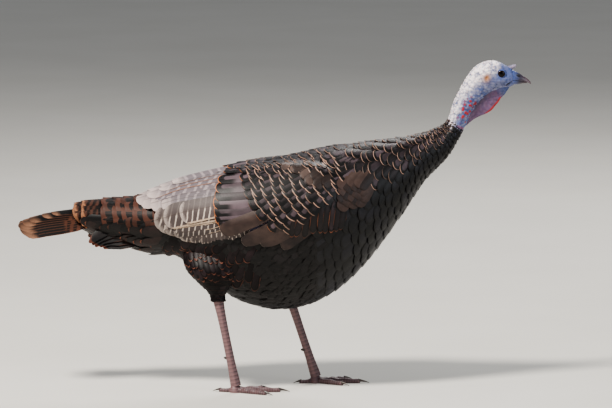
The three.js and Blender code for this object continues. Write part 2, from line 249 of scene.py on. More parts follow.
def obj(name, mesh):
    """An object at the origin with this mesh."""
    made = bpy.data.objects.new(name, mesh)
    bpy.context.scene.collection.objects.link(made)
    return made


def store(mesh, name, values):
    """Keeps one number for each vertex under a name that a material can read."""
    mesh.attributes.new(name, "FLOAT", "POINT").data.foreach_set("value", np.asarray(values, np.float32))


def store_map(mesh, name, uv):
    """Keeps a UV map given as one pair of numbers for each vertex."""
    corners = np.empty(len(mesh.loops), int)
    mesh.loops.foreach_get("vertex_index", corners)
    mesh.uv_layers.new(name=name).data.foreach_set("uv", np.asarray(uv, np.float32)[corners].ravel())


# %% Tubes and rings


def masked(name, rings, faces, spots, island, masks):
    """An object from a grid of points, with a number for each mask. Its baking map puts each face's
    corner at a spot from 0 to 1 within a rectangle, island: left, low, right and high."""
    mesh = to_mesh(name, rings, faces)
    for mask in MASKS:
        store(mesh, mask, np.broadcast_to(masks.get(mask, 0.0), rings.shape[:2]).ravel())
    low, high = np.array(island[:2]), np.array(island[2:])
    mesh.uv_layers.new(name="OFBake").data.foreach_set("uv", (low + (high - low) * spots).ravel())
    return obj(name, outward(mesh))


def tube(name, rings, island=(0, 0, 1, 1), **masks):
    """A closed tube from an array of rings, rows by columns by 3, with its two ends capped."""
    rows, columns = rings.shape[:2]
    quads = tube_faces(rows, columns)
    caps = [list(range(columns))[::-1], [(rows - 1) * columns + k for k in range(columns)]]
    i, j = np.meshgrid(np.arange(rows - 1), np.arange(columns), indexing="ij")
    corners = np.stack([[j, i], [j + 1, i], [j + 1, i + 1], [j, i + 1]])
    corners = corners.transpose(2, 3, 0, 1).reshape(-1, 2)
    ends = [[[k, row] for k in cap] for row, cap in zip((0, rows - 1), (caps[0], range(columns)))]
    spots = np.concatenate([corners, *ends]) / (columns, rows - 1)
    return masked(name, rings, quads.tolist() + caps, spots, island, masks)


def closed_ring(name, rings, island, **masks):
    """A closed ring. Both directions of its grid join up with themselves, so it has no caps."""
    rows, columns = rings.shape[:2]
    i, j = np.meshgrid(np.arange(rows), np.arange(columns), indexing="ij")
    steps = [(i, j), (i, j + 1), (i + 1, j + 1), (i + 1, j)]
    quads = np.stack([a % rows * columns + b % columns for a, b in steps], -1).reshape(-1, 4)
    spots = np.stack([np.stack([b / columns, a / rows], -1) for a, b in steps], -2).reshape(-1, 2)
    return masked(name, rings, quads.tolist(), spots, island, masks)


# %% [markdown]
# ## Finished pieces
# The imported model is the bird's true frame, so nothing in it is moved. A finished piece rides on its
# one rigid body, takes a material, and may hide the plain solid that it stands for.

# %% Riding on the frame


def ride(piece, look):
    """Gives a piece its material and fixes it to the bird's one rigid body."""
    piece.data.materials.append(look)
    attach(piece, "root")


def stand_in(node, name, rings, look):
    """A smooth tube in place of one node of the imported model."""
    piece = tube(name, rings)
    piece.data.shade_smooth()
    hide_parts(node)
    ride(piece, look)


# %% [markdown]
# ## Irregularity
# Living skin is never smooth. Two small noises do most of the work: one is soft, made by blending
# random numbers on a grid, and one is made of cells, each a bump round a scattered point. Both start
# from whole numbers that are multiplied and mixed, so the bird comes out the same every time.

# %% Noise
HASH_TOP = 2**32


def hashed(cell, seed):
    """A repeatable random number from 0 to 1 for each whole-numbered cell. Large odd factors and a
    remainder throw its digits about, as in most hashes."""
    mixed = cell @ np.array([127, 311, 743]) + seed * 7919
    mixed = (mixed ^ (mixed >> 7)) * 2654435761 % HASH_TOP
    mixed = (mixed ^ (mixed >> 15)) * 2246822519 % HASH_TOP
    return mixed / HASH_TOP


def soft_noise(points, size, seed):
    """Random values at the corners of cubes, blended smoothly between, from -1 to 1."""
    scaled = points / size
    cell = np.floor(scaled).astype(np.int64)
    f = scaled - cell
    f = f * f * (3 - 2 * f)
    total = 0
    for corner in np.ndindex(2, 2, 2):
        share = np.where(corner, f, 1 - f).prod(-1)
        total = total + share * hashed(cell + corner, seed)
    return total * 2 - 1


def beads(points, size, seed):
    """Round bumps: 1 at a scattered point in each cube and 0 half a cube away from it."""
    scaled = points / size
    cell = np.floor(scaled).astype(np.int64)
    nearest = np.full(points.shape[:-1], np.inf)
    for corner in np.ndindex(3, 3, 3):
        here = cell + corner - 1
        spot = here + np.stack([hashed(here, seed + k) for k in (1, 2, 3)], -1)
        nearest = np.minimum(nearest, ((scaled - spot) ** 2).sum(-1))
    return np.clip(1 - nearest * 2.2, 0, 1)


# %% [markdown]
# ## The skin of trunk, neck and head
# A plucked turkey is much slimmer than it looks, so below the feathers the skin lies several
# millimetres inside the outline. On the bare head and neck it is the outline itself, and there the
# detail matters: sunken eyes with lids, an ear hole, the corner of the mouth, folds over the nape and
# beads of swollen skin, the caruncles, low on the neck. All of it is added as height on one grid.

# %% Where things are on the head
EYE = np.array([421.0, 587.0])
EAR = np.array([394.0, 579.0])
GAPE, GAPE_TURN = np.array([433.0, 566.5]), 33
JAW, JAW_TURN = np.array([397.0, 546.0]), 38
THROAT, THROAT_TURN = np.array([367.0, 515.0]), 72
CARUNCLES = (14.9, 15.5, 16.4, 17.6)  # stations where they start, are full, shrink and end
WHITE_CROWN = (16.5, 18.5)  # stations where the white starts and is full
TAIL_SINK, BILL_SINK = 14, 1.3


def bump(x, z, centre, long, wide, turn=0.0):
    """A soft oval hill: exp(-(u/long)^2 - (v/wide)^2), turned by an angle in degrees."""
    c, s = cos(radians(turn)), sin(radians(turn))
    dx, dz = x - centre[0], z - centre[1]
    return np.exp(-(((dx * c + dz * s) / long) ** 2) - ((dz * c - dx * s) / wide) ** 2)


def bareness(t):
    """0 under the feathers and 1 on the bare neck and head."""
    return softly(t, AT["feather line"] - 0.5, AT["feather line"] + 0.2)


def skin_depth(t):
    """How far the skin lies inside the outline: most on the trunk, nothing on the head."""
    return curve([8, 8, 8, 8, 8, 8, 9, 9, 9, 9, 9, 9, 8, 6, 4, 1.2, 0.4, 0.2, 0, 0, 0, 0, 0, 0], t)


def head_height(point, t, angle):
    """The features of the bare head and neck, as millimetres above the smooth outline, and the masks
    that say where its colours go, painted sunlight and painted shade among them."""
    x, z = point[..., 0], point[..., 2]
    flank = softly(np.abs(np.sin(np.radians(angle))), 0.35, 0.75)
    eye_far = np.hypot((x - EYE[0]) / 1.08, z - EYE[1])
    calm = 1 - np.exp(-((eye_far / 15) ** 4))
    height = -2.8 * np.exp(-((eye_far / 11.5) ** 4)) * flank  # the eye's socket
    height += 1.7 * bump(x, z, EYE + (3, 11), 14, 3.2, -20) * flank  # brow
    height += 1.0 * bump(x, z, EYE + (0, -12.5), 12, 3.4, 8) * flank  # cheek
    ear = bump(x, z, EAR, 6, 7.5, -30) * flank
    height += 1.3 * ear - 2.8 * bump(x, z, EAR, 2.2, 3.2) * flank  # swelling with a hole in it
    mouth = bump(x, z, GAPE, 10, 1.3, GAPE_TURN) * flank
    height += 0.9 * bump(x, z, GAPE + (2, -4.5), 11, 3, GAPE_TURN) * flank - 1.5 * mouth
    jaw = bump(x, z, JAW, 26, 3.0, JAW_TURN) + bump(x, z, THROAT, 17, 2.8, THROAT_TURN)
    jaw = np.clip(jaw, 0, 1) * flank
    height -= 1.7 * jaw  # a groove along the jaw and the throat
    back = softly(np.cos(np.radians(angle)), -0.25, 0.6)
    low = 1 - softly(t, AT["upper neck"] + 0.3, AT["occiput"] + 0.4)
    coarse, fine = beads(point * (0.75, 1, 1.1), 5.4, 3), beads(point, 3.0, 9)
    folds = coarse * 1.25 + fine * 0.5
    height += folds * (0.25 + 0.75 * back) * (0.3 + 0.7 * low) * calm
    height += (0.22 * soft_noise(point, 2.0, 5) + 0.35 * soft_noise(point * (1, 1, 0.3), 3.2, 6)) * calm
    front = softly(-np.cos(np.radians(angle)), -0.62, 0.2)
    throat = softly(t, *CARUNCLES[:2]) * (1 - softly(t, *CARUNCLES[2:])) * front
    berries = beads(point, 7.0, 21)
    height += 2.0 * throat * berries
    masks = {
        # white on the back of the head and neck, strongest on the crown: partly the skin's own white,
        # partly painted sunlight on the side that faces up and back
        "white": back * (1 - softly(x, 408, 424)) * (0.7 + 0.3 * softly(t, *WHITE_CROWN)),
        # blue: the blue skin round the eye and on the face, with painted blue shade in the jaw's groove
        # and in the valleys between folds, most on the side away from the back
        "blue": np.clip(np.exp(-((eye_far / 19) ** 2)) + 0.55 * softly(x, 424, 442) + 0.5 * jaw
                        + low * (1 - coarse) * (0.9 - 0.6 * back), 0, 1),
        "red": np.clip(throat * softly(berries, 0.48, 0.75) + 0.35 * softly(-t, -15.6, -14.9), 0, 1),
        "ear": ear,
        # dark: painted shade in the crease of the mouth and in the groove along the jaw and throat
        "dark": np.clip(1.2 * mouth + 0.85 * jaw, 0, 1),
        # bead: the heights of the folds, which make the skin paler on their tops, partly its own mottling
        # and partly painted highlight
        "bead": np.clip(coarse * 0.7 + fine * 0.4, 0, 1),
    }
    return height * bareness(t), masks


# %% The grid of the skin
AROUND = 144
WING_FLESH = 0.45
ROWS = np.concatenate([
    np.linspace(AT["covert middle"] + 0.3, AT["crop"], 70, endpoint=False),
    np.linspace(AT["crop"], AT["feather line"], 40, endpoint=False),
    np.linspace(AT["feather line"], AT["nape"], 84, endpoint=False),
    np.linspace(AT["nape"], AT["bill root"], 96),
])


def torso_rings():
    """The body function at minus the coat's depth, plus the wing's flesh and the head's features. The
    two ends sink in, so that they close round."""
    t, angle = tube_grid(ROWS, AROUND, 360)
    angle = angle - 180
    features, masks = head_height(body(t, angle, 0), t, angle)
    height = swell(t, angle) * WING_FLESH - skin_depth(t) + features
    tail_end = 1 - softly(t, ROWS[0], ROWS[0] + 0.6)
    bill_end = softly(t, AT["bill root"] - 0.25, AT["bill root"])
    return body(t, angle, height - TAIL_SINK * tail_end**2 - BILL_SINK * bill_end**2), masks


torso_grid, torso_masks = torso_rings()
torso = tube("torso", torso_grid, (0, 0.3, 0.9, 1), **torso_masks)
print("torso", len(torso.data.polygons), "faces")

# %% [markdown]
# ## Eyelids and wattle
# An eyelid is a thin rolled rim, so each is a ring of small round section round the eyeball. The
# wattle is a thin hanging fold from chin to throat. It is a sheet with two sides, wavy at its edge,
# and its thickness fades towards the edge.

# %% Lids
EYE_OUT, EYE_RADIUS = 11.2, 8.2
LID_REACH = 7.0
LID_SPREAD, LID_SINK = 2.3, 3.2  # how far its inner half is drawn, away from the axis and into the head


def lid_rings(side):
    """A ring round the eye's axis, a little taller behind than before. Its section is an oval whose
    inner half is drawn out along the ball, so that it reaches down into the socket's skin."""
    u, v = tube_grid(np.arange(48) * 2 * pi / 48, 16)
    reach = LID_REACH + 0.35 * np.cos(u) ** 2 - 0.25 * np.sin(u)
    thick = 1.05 + 0.3 * np.sin(u)
    sunk = np.clip(-np.sin(v), 0, 1)
    x = EYE[0] + (reach + thick * np.cos(v) + LID_SPREAD * sunk) * np.cos(u)
    z = EYE[1] + (reach * 0.96 + thick * np.cos(v) + LID_SPREAD * sunk) * np.sin(u)
    ball = np.sqrt(EYE_RADIUS**2 - reach**2) + EYE_OUT - 0.1
    return np.stack([x, side * (ball + thick * 0.85 * np.sin(v) - LID_SINK * sunk), z], -1)


lids = []
for number, side in enumerate((RIGHT, LEFT)):
    low = 0.05 * number
    lids.append(closed_ring("lid", lid_rings(side), (0.9, low, 1, low + 0.045), blue=0.9))
print(len(lids), "rings of eyelid")

# %% Wattle and snood
WATTLE_FROM, WATTLE_TO = AT["feather line"] + 0.4, AT["eye"] + 0.4
WATTLE_DEPTH = [2, 26, 27, 20, 14.5, 6, -2]
WATTLE_HALF = [1, 0.86, 0.62, 0.42, 0.3, 0.22]
SNOOD_ROOT, SNOOD_TIP = np.array([432.0, 594.0]), np.array([449.0, 601.0])


def wattle_rings():
    """For each step from throat to chin, a long flat oval hanging from the middle of the neck. It is
    blue by the jaw, purple below, and red along its free edge, with painted shade over its upper half,
    where it hangs from the neck."""
    s, w = tube_grid(np.linspace(0, 1, 90), 64, 1)
    row = curve(SIZES, WATTLE_FROM + (WATTLE_TO - WATTLE_FROM) * s)
    back, belly = row[..., [0, 1]], row[..., [2, 3]]
    centre, up = (back + belly) / 2, (back - belly) / 2
    tall = np.linalg.norm(up, axis=-1, keepdims=True)
    depth = tall[..., 0] * 0.4 + even(WATTLE_DEPTH, s)
    share = (1 - np.cos(2 * pi * w)) / 2
    side = power(np.sin(2 * pi * w), 0.35)
    hang = centre - up * 0.6 - up / tall * (depth * share)[..., None]
    half = 8.5 * even(WATTLE_HALF, share) * side
    point = np.stack([hang[..., 0], half, hang[..., 1]], -1)
    wave = 1.3 * np.sin(s * 26 + share * 5) + 0.8 * np.sin(s * 57 - share * 9)
    point[..., 1] += wave * softly(share, 0.45, 1) * 0.6
    rough = soft_noise(point, 3.2, 31) * 0.5 + beads(point, 4.5, 33) * 0.7
    point[..., 1] += np.sign(side) * rough * softly(1 - share, 0, 0.2)
    masks = {
        "blue": softly(s - share * 0.3, 0.1, 0.6),
        "red": 0.48 + 0.12 * rough - 0.4 * softly(s, 0.5, 0.8)
        + 0.8 * softly(share, 0.86, 0.96) * softly(s, 0.1, 0.22) * (1 - softly(s, 0.45, 0.6)),
        # dark: a little all over, and painted shade over the upper half, where the fold hangs from the
        # neck
        "dark": 0.22 + 0.6 * (1 - softly(share, 0.1, 0.5)),
        "bead": beads(point, 4.5, 33),
    }
    return point, {name: np.clip(mask, 0, 1) for name, mask in masks.items()}


def snood_rings():
    """A short soft finger over the bill: circles along a line, a little smaller at the end."""
    s, w = tube_grid(np.linspace(0, 1, 16), 16)
    ahead = (SNOOD_TIP - SNOOD_ROOT) / np.linalg.norm(SNOOD_TIP - SNOOD_ROOT)
    radius = 4.3 * np.sqrt(np.clip(1 - s**5, 0.02, 1)) * (1 - 0.14 * s) + 0.2 * np.sin(s * 30)
    middle = SNOOD_ROOT + (SNOOD_TIP - SNOOD_ROOT) * s[..., None]
    x = middle[..., 0] - ahead[1] * radius * np.cos(w)
    z = middle[..., 1] + ahead[0] * radius * np.cos(w)
    return np.stack([x, radius * np.sin(w), z], -1)


wattle_grid, wattle_masks = wattle_rings()
wattle = tube("wattle_fold", wattle_grid, (0, 0.15, 0.4, 0.28), **wattle_masks)
nub = tube("snood_nub", snood_rings(), (0.42, 0.15, 0.5, 0.28), red=0.35, white=0.8)
print("wattle hangs to", round(wattle_grid[..., 2].min()), "mm above the floor")

# %% [markdown]
# ## Legs
# A turkey walks on its toes. What looks like a backward knee is its ankle, and below it the bare
# shank is plated with scutes: two rows of broad plates in front, small scales behind. Steps in the
# radius, sharp at the lower side of each plate, make them. The thigh above is short and hidden.

# %% Sizes of the legs
LEG_OUT = 60
SOLE = 12
PAD_TALL = 14
LEGS = {
    "right": dict(
        side=RIGHT, hip=(-112, -66, 268), ankle=(-102, -LEG_OUT, 180), foot=(-68, -LEG_OUT, SOLE)
    ),
    "left": dict(side=LEFT, hip=(-40, 76, 262), ankle=(26, LEG_OUT, 176), foot=(80, LEG_OUT, SOLE)),
}
for leg in LEGS.values():
    leg.update({joint: np.array(leg[joint], float) for joint in ("hip", "ankle", "foot")})
THIGH_FORE = [64, 60, 50, 31, 14]
THIGH_SIDE = [34, 34, 32, 23, 12.5]
THIGH_TOP = -0.55
THIGH_LEAN = 42
TOES = {  # turn from straight ahead, length, joints, claw length, thickness
    "inner": (-36, 55, 2, 15, 0.95),
    "middle": (-3, 76, 3, 17, 1.05),
    "outer": (32, 60, 4, 14, 0.9),
    "hind": (196, 27, 1, 12, 0.8),
}


def thigh_point(leg, s, angle, height):
    """An oval that shrinks from hip to ankle: the line between them plus fore and side half axes.
    Above the hip it narrows and leans in, so that it sinks into the flank."""
    s, angle, height = np.broadcast_arrays(s, angle, height)
    point = leg["hip"] + (leg["ankle"] - leg["hip"]) * s[..., None]
    buried = softly(0.6 - s, 0, 0.6 - THIGH_TOP)
    point[..., 0] += (even(THIGH_FORE, s) * (1 - 0.3 * buried) + height) * np.cos(np.radians(angle))
    point[..., 1] += (even(THIGH_SIDE, s) * (1 - 0.2 * buried) + height) * np.sin(np.radians(angle))
    point[..., 1] -= leg["side"] * THIGH_LEAN * buried
    return point


def scutes(s, angle, count, depth):
    """Overlapping plates: a saw wave along the limb, shifted by half a plate across the front. The mask
    that comes with it paints shade on each plate where it lies under the one above, and is higher on
    the back of the leg.
    """
    step = s * count + 0.5 * (np.sin(angle) > 0)
    saw = step - np.floor(step)
    front = softly(np.cos(angle), -0.2, 0.3)
    seam = np.exp(-((np.sin(angle) / 0.09) ** 2)) * front
    return depth * ((saw**0.6 - 0.6) * front - 0.9 * seam), np.clip(saw * 0.6 + 0.4 * (1 - front), 0.05, 1)


def shank_rings(leg):
    """Ovals from just above the ankle to the foot, with a swollen joint at each end, and scutes."""
    s, a = tube_grid(np.linspace(-0.08, 1, 260), 36)
    axis = leg["foot"] - leg["ankle"]
    fore = np.array([-axis[2], 0, axis[0]]) / np.linalg.norm(axis)
    radius = 7.3 * even([1.25, 1.02, 0.93, 0.93, 1, 1.2], s)
    plates, mask = scutes(s, a, 24, 0.55)
    radius = radius - 0.5 + plates
    point = leg["ankle"] + axis * s[..., None]
    tendon = 1 + 0.1 * softly(-np.cos(a), 0.6, 1)
    point = point + fore * (radius * 1.12 * np.cos(a) * tendon)[..., None]
    point[..., 1] += radius * np.sin(a)
    return point, mask


def pad_rings(leg):
    """A squat plated cushion under the foot, flat where it stands and narrower above."""
    s, a = tube_grid(np.linspace(0, 1, 48), 36)
    plates, mask = scutes(1 - s, a, 4, 0.7)
    wide = 11.4 - 6 * s**2 + plates * (1 - s) + 0.4 * np.cos(3 * a)
    x = leg["foot"][0] + wide * 1.12 * np.cos(a) - 2 * s
    y = leg["foot"][1] + wide * np.sin(a)
    return np.stack([x, y, s * PAD_TALL], -1), mask


def toe_frame(leg, turn):
    """Where a toe starts, and its directions along and across the floor."""
    angle = radians(turn) * leg["side"]
    ahead = np.array([cos(angle), sin(angle), 0.0])
    start = np.array([leg["foot"][0], leg["foot"][1], 0.0]) + ahead * 6
    return start, ahead, np.array([-ahead[1], ahead[0], 0.0])


def toe_rings(leg, toe):
    """Circles along a line, swollen over each joint, plated above and flat below."""
    turn, length, joints, _, thick = TOES[toe]
    start, ahead, across = toe_frame(leg, turn)
    s, a = tube_grid(np.linspace(0, 1, 64), 24)
    end = np.sqrt(np.clip(1 - np.clip((s - 0.9) / 0.1, 0, 1) ** 2 * 0.9, 0.02, 1))
    radius = 5.5 * thick * (1.15 - 0.33 * s) * (1 + 0.08 * np.cos(2 * pi * s * joints)) * end
    plates, mask = scutes(s, a * 0 + 0.3, int(length / 4.6), 0.45)
    out = radius + plates * softly(np.cos(a), 0, 0.5)
    point = start + ahead * (length * s)[..., None] + across * (out * np.sin(a))[..., None]
    point[..., 2] = np.maximum(radius * 0.65 + out * np.cos(a), 0.0)
    return point, mask


# %% Both legs
THIGH_COAT = 6


def limb(name, rings, mask, left, wide):
    """One plated or plain tube of a leg, on its own part of the skin's baking map."""
    return tube(name, rings, (left, 0, left + wide, 0.13), plate=mask)


limbs = []
for leg, left in zip(LEGS.values(), (0, 0.45)):
    s, angle = tube_grid(np.linspace(THIGH_TOP, 1.02, 50), 48, 360)
    limbs += [
        limb("drum", thigh_point(leg, s, angle, -THIGH_COAT), 0.0, left, 0.1),
        limb("shin", *shank_rings(leg), left + 0.11, 0.13),
        limb("sole", *pad_rings(leg), left + 0.25, 0.05),
    ]
    for place, toe in enumerate(TOES):
        limbs.append(limb("toe", *toe_rings(leg, toe), left + 0.31 + 0.034 * place, 0.03))
print(len(limbs), "limb pieces")

# %% [markdown]
# ## One skin
# All these closed surfaces overlap where they meet. A boolean union cuts away what is inside and
# leaves a single skin with no seam. The alternative, remeshing the lot with voxels, would lose the
# lids and scutes, so the union is the better way here.

# %% The union


def unite(base, others):
    """Joins closed objects into base with boolean unions and removes the rest."""
    for other in others:
        step = base.modifiers.new("union", "BOOLEAN")
        step.operation, step.object, step.solver = "UNION", other, "MANIFOLD"
    united = bpy.data.meshes.new_from_object(base.evaluated_get(bpy.context.evaluated_depsgraph_get()))
    united.materials.clear()
    base.modifiers.clear()
    base.data = united
    for other in others:
        bpy.data.objects.remove(other)
    return base


skin = unite(torso, lids + [wattle, nub] + limbs)
skin.name = skin.data.name = "skin"
print("skin", len(skin.data.vertices), "vertices", len(skin.data.polygons), "faces")

# %% [markdown]
# ## Plates without seams
# A union makes new vertices where two pieces cross, and they start with no mask. On the foot, whose
# plates are a mask, that would draw a line of bare skin round each toe. Height tells the horny part
# of the leg from the rest, so any vertex there that has no plate is given one.

# %% Plates along the seams
PLATED_BELOW = 160
plates = np.zeros(len(skin.data.vertices))
skin.data.attributes["plate"].data.foreach_get("value", plates)
low = places_of(skin.data)[:, 2] < PLATED_BELOW
plates[low & (plates < 0.05)] = 0.3
skin.data.attributes["plate"].data.foreach_set("value", plates)
print(int(low.sum()), "vertices on shanks and feet")

# %% [markdown]
# ## Writing materials as sums
# A procedural material is arithmetic: a mask times a colour, one minus the mask times another. Nodes
# say that clumsily, so one small class wraps a socket and gives it operators, and a second makes
# nodes. An expression such as `1 - mask` then adds its own Math node.

# %% Sockets as values


class Value:
    """A number on a socket. Each operator adds a Math node and gives back its result."""

    def __init__(self, look, socket):
        self.look, self.socket = look, socket

    def math(self, operation, *numbers):
        """One Math node with these numbers or links on its sockets."""
        return self.look.node("Math", {"operation": operation}, dict(enumerate(numbers)))

    def __add__(self, other):
        return self.math("ADD", self, other)

    def __sub__(self, other):
        return self.math("SUBTRACT", self, other)

    def __rsub__(self, other):
        return self.math("SUBTRACT", other, self)

    def __mul__(self, other):
        return self.math("MULTIPLY", self, other)

    def __truediv__(self, other):
        return self.math("DIVIDE", self, other)

    def __pow__(self, other):
        return self.math("POWER", self, other)

    __radd__, __rmul__ = __add__, __mul__

    def size(self):
        """The number without its sign."""
        return self.math("ABSOLUTE", self)

    def wave(self):
        """Its sine."""
        return self.math("SINE", self)

    def within(self):
        """The number kept between 0 and 1."""
        return self.math("MINIMUM", self.math("MAXIMUM", self, 0.0), 1.0)

    def step(self, low, high):
        """0 up to low and 1 from high, with an S between. Low may be the larger."""
        ends = {"Value": self, "From Min": low, "From Max": high}
        return self.look.node("MapRange", {"interpolation_type": "SMOOTHSTEP"}, ends)


def shade(code):
    """A web colour such as 7f9ab8 as linear red, green, blue and alpha."""
    parts = np.array([int(code[k : k + 2], 16) for k in (0, 2, 4)]) / 255
    linear = np.where(parts <= 0.04045, parts / 12.92, ((parts + 0.055) / 1.055) ** 2.4)
    return (*linear, 1.0)


class Look:
    """A material. Its Principled shader takes numbers that are the same all over when it is made,
    and patterns through set."""

    def __init__(self, name, **fixed):
        self.material = bpy.data.materials.new(name)
        self.material.use_nodes = True
        self.tree = self.material.node_tree
        self.shader = self.tree.nodes["Principled BSDF"]
        for socket, value in fixed.items():
            self.shader.inputs[socket.replace("_", " ")].default_value = value

    def node(self, kind, settings=None, inputs=None, output=0):
        """Any node: its type, its settings, then values or links for its sockets."""
        made = self.tree.nodes.new("ShaderNode" + kind)
        for name, value in (settings or {}).items():
            if name == "stops":
                self.stops(made.color_ramp, value)
            else:
                setattr(made, name, value)
        for name, value in (inputs or {}).items():
            self.feed(made.inputs[name], value)
        return Value(self, made.outputs[output])

    @staticmethod
    def stops(ramp, stops):
        """Puts places and colours on a colour ramp, which starts with two."""
        while len(ramp.elements) < len(stops):
            ramp.elements.new(1.0)
        for element, (place, colour) in zip(ramp.elements, stops):
            element.position, element.color = place, colour

    def feed(self, socket, value):
        """Links a value to a socket, or sets a plain number or colour on it."""
        if isinstance(value, Value):
            self.tree.links.new(value.socket, socket)
        else:
            socket.default_value = value

    def set(self, **patterns):
        """Feeds the shader's sockets, which are named with _ for a space."""
        for socket, value in patterns.items():
            self.feed(self.shader.inputs[socket.replace("_", " ")], value)

    def mix(self, mask, below, above):
        """The colour below where the mask is 0, and the one above where it is 1."""
        return self.node("Mix", {"data_type": "RGBA"}, {0: mask, 6: below, 7: above}, 2)

    def tint(self, colour, brightness):
        """A colour times a number, as Vector Math so that it stays a colour."""
        return self.node("VectorMath", {"operation": "SCALE"}, {0: colour, 3: brightness})

    def kept(self, name):
        """The number that the mesh keeps for each vertex under this name."""
        return self.node("Attribute", {"attribute_name": name}, output=2)

    def place(self):
        """Where the shaded point is on the object, in metres."""
        return self.node("TexCoord", output=3)

    def part(self, vector, axis):
        """One number of a vector: its x, y or z for axis 0, 1 or 2."""
        return self.node("SeparateXYZ", None, {0: vector}, axis)

    def noise(self, scale, detail, stretch=(1, 1, 1)):
        """Soft noise from 0 to 1, scale times in a metre. Stretch squeezes it along x, y and z."""
        at = self.node("Mapping", None, {0: self.place(), 3: stretch})
        sizes = {"Vector": at, "Scale": scale, "Detail": detail, "Roughness": 0.55}
        return self.node("TexNoise", None, sizes)

    def vane(self):
        """Across the vane from -1 to 1, and along it from 0 to 1."""
        chart = self.node("UVMap", {"uv_map": "Vane"})
        return self.part(chart, 0), self.part(chart, 1)

    def bump(self, height, distance, strength):
        """A normal that leans as if the surface rose by height times distance."""
        return self.node("Bump", None, {"Height": height, "Distance": distance, "Strength": strength})


# %% [markdown]
# ## Bare skin
# The head of a wild turkey changes colour with its mood: white on the crown, blue round the eye, red
# on the caruncles. Light is painted into it too: painted sunlight whitens the back of the head and the
# tops of its folds, and painted shade darkens the creases, grooves and valleys. The shape already knows
# where these are, so the masks kept with the skin mix the colours, and noise breaks their edges. A
# little light scatters under thin skin, which softens it.

# %% The skin's look
def skin_look():
    """Grey-blue skin, paler on the folds, then one mask after another over it: blue, white crown, ear,
    specks, purple and red caruncles, painted shade in creases and grooves, and last the horny plates of
    the legs. Painted sunlight whitens the back of the head and the tops of folds, and painted blue shade
    fills the grooves and the valleys between folds."""
    look = Look("bare_skin", Subsurface_Weight=0.12, Subsurface_Radius=(0.9, 0.35, 0.25),
                Subsurface_Scale=0.003, Coat_Roughness=0.3)
    cloud, fine = look.noise(90, 3), look.noise(600, 2)
    white, blue, red, ear, dark, bead, plate = (look.kept(name) for name in MASKS)
    # grey skin, paler on the raised folds: partly its own mottling, partly painted highlight on their tops
    colour = look.mix((cloud * 1.2 - 0.45 + bead * 0.75).within(), shade("434d72"), shade("9592a8"))
    # blue skin, with painted blue shade in the grooves and the valleys between folds
    colour = look.mix((blue + (cloud - 0.5) * 0.5 * blue).within() * 0.85, colour, shade("43548a"))
    # white skin on the back of the head, with painted sunlight on the tops of its folds
    white_and_painted_sun = white * (bead * 1.3 + 0.2) + (cloud - 0.5) * 0.9 * white
    colour = look.mix(white_and_painted_sun.within(), colour, shade("ece3e4"))
    colour = look.mix((ear * 1.1 + (fine - 0.5) * 0.4 * ear).within(), colour, shade("a06f4c"))
    specks = look.noise(330, 1).step(0.66, 0.72) * (1 - dark) * white * 0.5
    colour = look.mix(specks, colour, shade("b4565e"))
    colour = look.mix(red.step(0.2, 0.6) * 0.8, colour, shade("6b3a60"))
    colour = look.mix(red.step(0.62, 0.95), colour, shade("a3121c"))
    # painted shade in the mouth's crease, the jaw's groove and where the wattle hangs from the neck
    colour = look.mix((dark * 0.9).within(), colour, shade("1f2230"))
    horny = plate.step(0.01, 0.04)
    # scute colour: painted shade where each plate lies under the one above, pale at its raised edge
    scute = look.mix((plate + (cloud - 0.5) * 0.5).within(), shade("3d2b30"), shade("846667"))
    colour = look.mix(horny, colour, scute)
    bumps = fine * 0.6 + look.noise(1500, 1) * 0.4
    look.set(Base_Color=colour, Roughness=0.62 - bead * 0.1 + fine * 0.1 - horny * 0.1,
             Coat_Weight=(red * 0.3 + 0.05).within(), Normal=look.bump(bumps, 0.0004, 0.5))
    return look.material


# %% [markdown]
# ## The colour of a body feather
# Nearly all of a turkey's body feathers share one plan: a soft grey-brown base that never shows, a
# silky purple-bronze field, a black band near the tip and a thin pale or rusty rim. The tracts
# differ only in how wide and how warm each part is. The rings follow the feather's own outline, so
# they are drawn by the distance q, where q^2 = across^2 + past-the-shoulder^2, which is 1 at the rim.

# %% Body plumage
def plumage(name, field, band, rim, band_at=0.6, rim_at=0.94, rim_share=1.0, shoulder=0.78,
            rough=0.48, gloss=0.3, coat=0.05, barbs=230, sides=0.75, tinted=0.5):
    """field is two colours that noise mixes. band_at and rim_at are distances q where they start.
    sides under 1 fades band and rim along the feather's sides, and over 1 runs them its whole length."""
    look = Look(name, Sheen_Weight=0.03, Sheen_Roughness=0.4, Sheen_Tint=shade("a894b8"),
                Specular_IOR_Level=gloss, Coat_Roughness=0.4)
    across, along = look.vane()
    luck = look.kept("luck")
    past = ((along - shoulder) / (1 - shoulder)).within()
    ring = (across * across * sides + past * past) ** 0.5
    grain, soft = look.noise(500, 2), look.noise(38, 2)
    colour = look.mix((soft * 0.9 + luck * 0.6 - 0.3).step(0.2, 0.8), shade(field[0]), shade(field[1]))
    tip = along.step(0.55, 0.72) if sides <= 1 else 1
    in_band = (ring + grain * 0.1 - 0.05).step(band_at - 0.07, band_at + 0.07) * tip
    colour = look.mix(in_band, colour, shade(band))
    edge = (ring + (grain - 0.5) * 0.09).step(rim_at - 0.01, rim_at + 0.05)
    edge = (edge * tip * (luck * 0.9 + 0.35) * rim_share).within()
    colour = look.mix(edge, colour, shade(rim))
    shaft = (1 - across.size().step(0.012, 0.04)) * 0.3
    colour = look.mix(shaft, colour, shade(field[1]))
    comb = (along * barbs + across.size() * barbs * 0.3 + grain * 2).wave()
    look.set(Base_Color=look.tint(colour, luck * tinted + soft * 0.5 + 0.75 - tinted * 0.5),
             Roughness=grain * 0.14 + soft * 0.16 + (rough - 0.15),
             Coat_Weight=(1 - edge) * coat, Normal=look.bump(comb, 0.00005, 0.15))
    return look.material


# %% [markdown]
# ## The colour of a quill
# Wing and tail quills are crossed by bars. On a real feather they grow as the pigment comes and goes
# each day, so they are nearly even. Here a sine wave along the vane draws them and noise frays them.

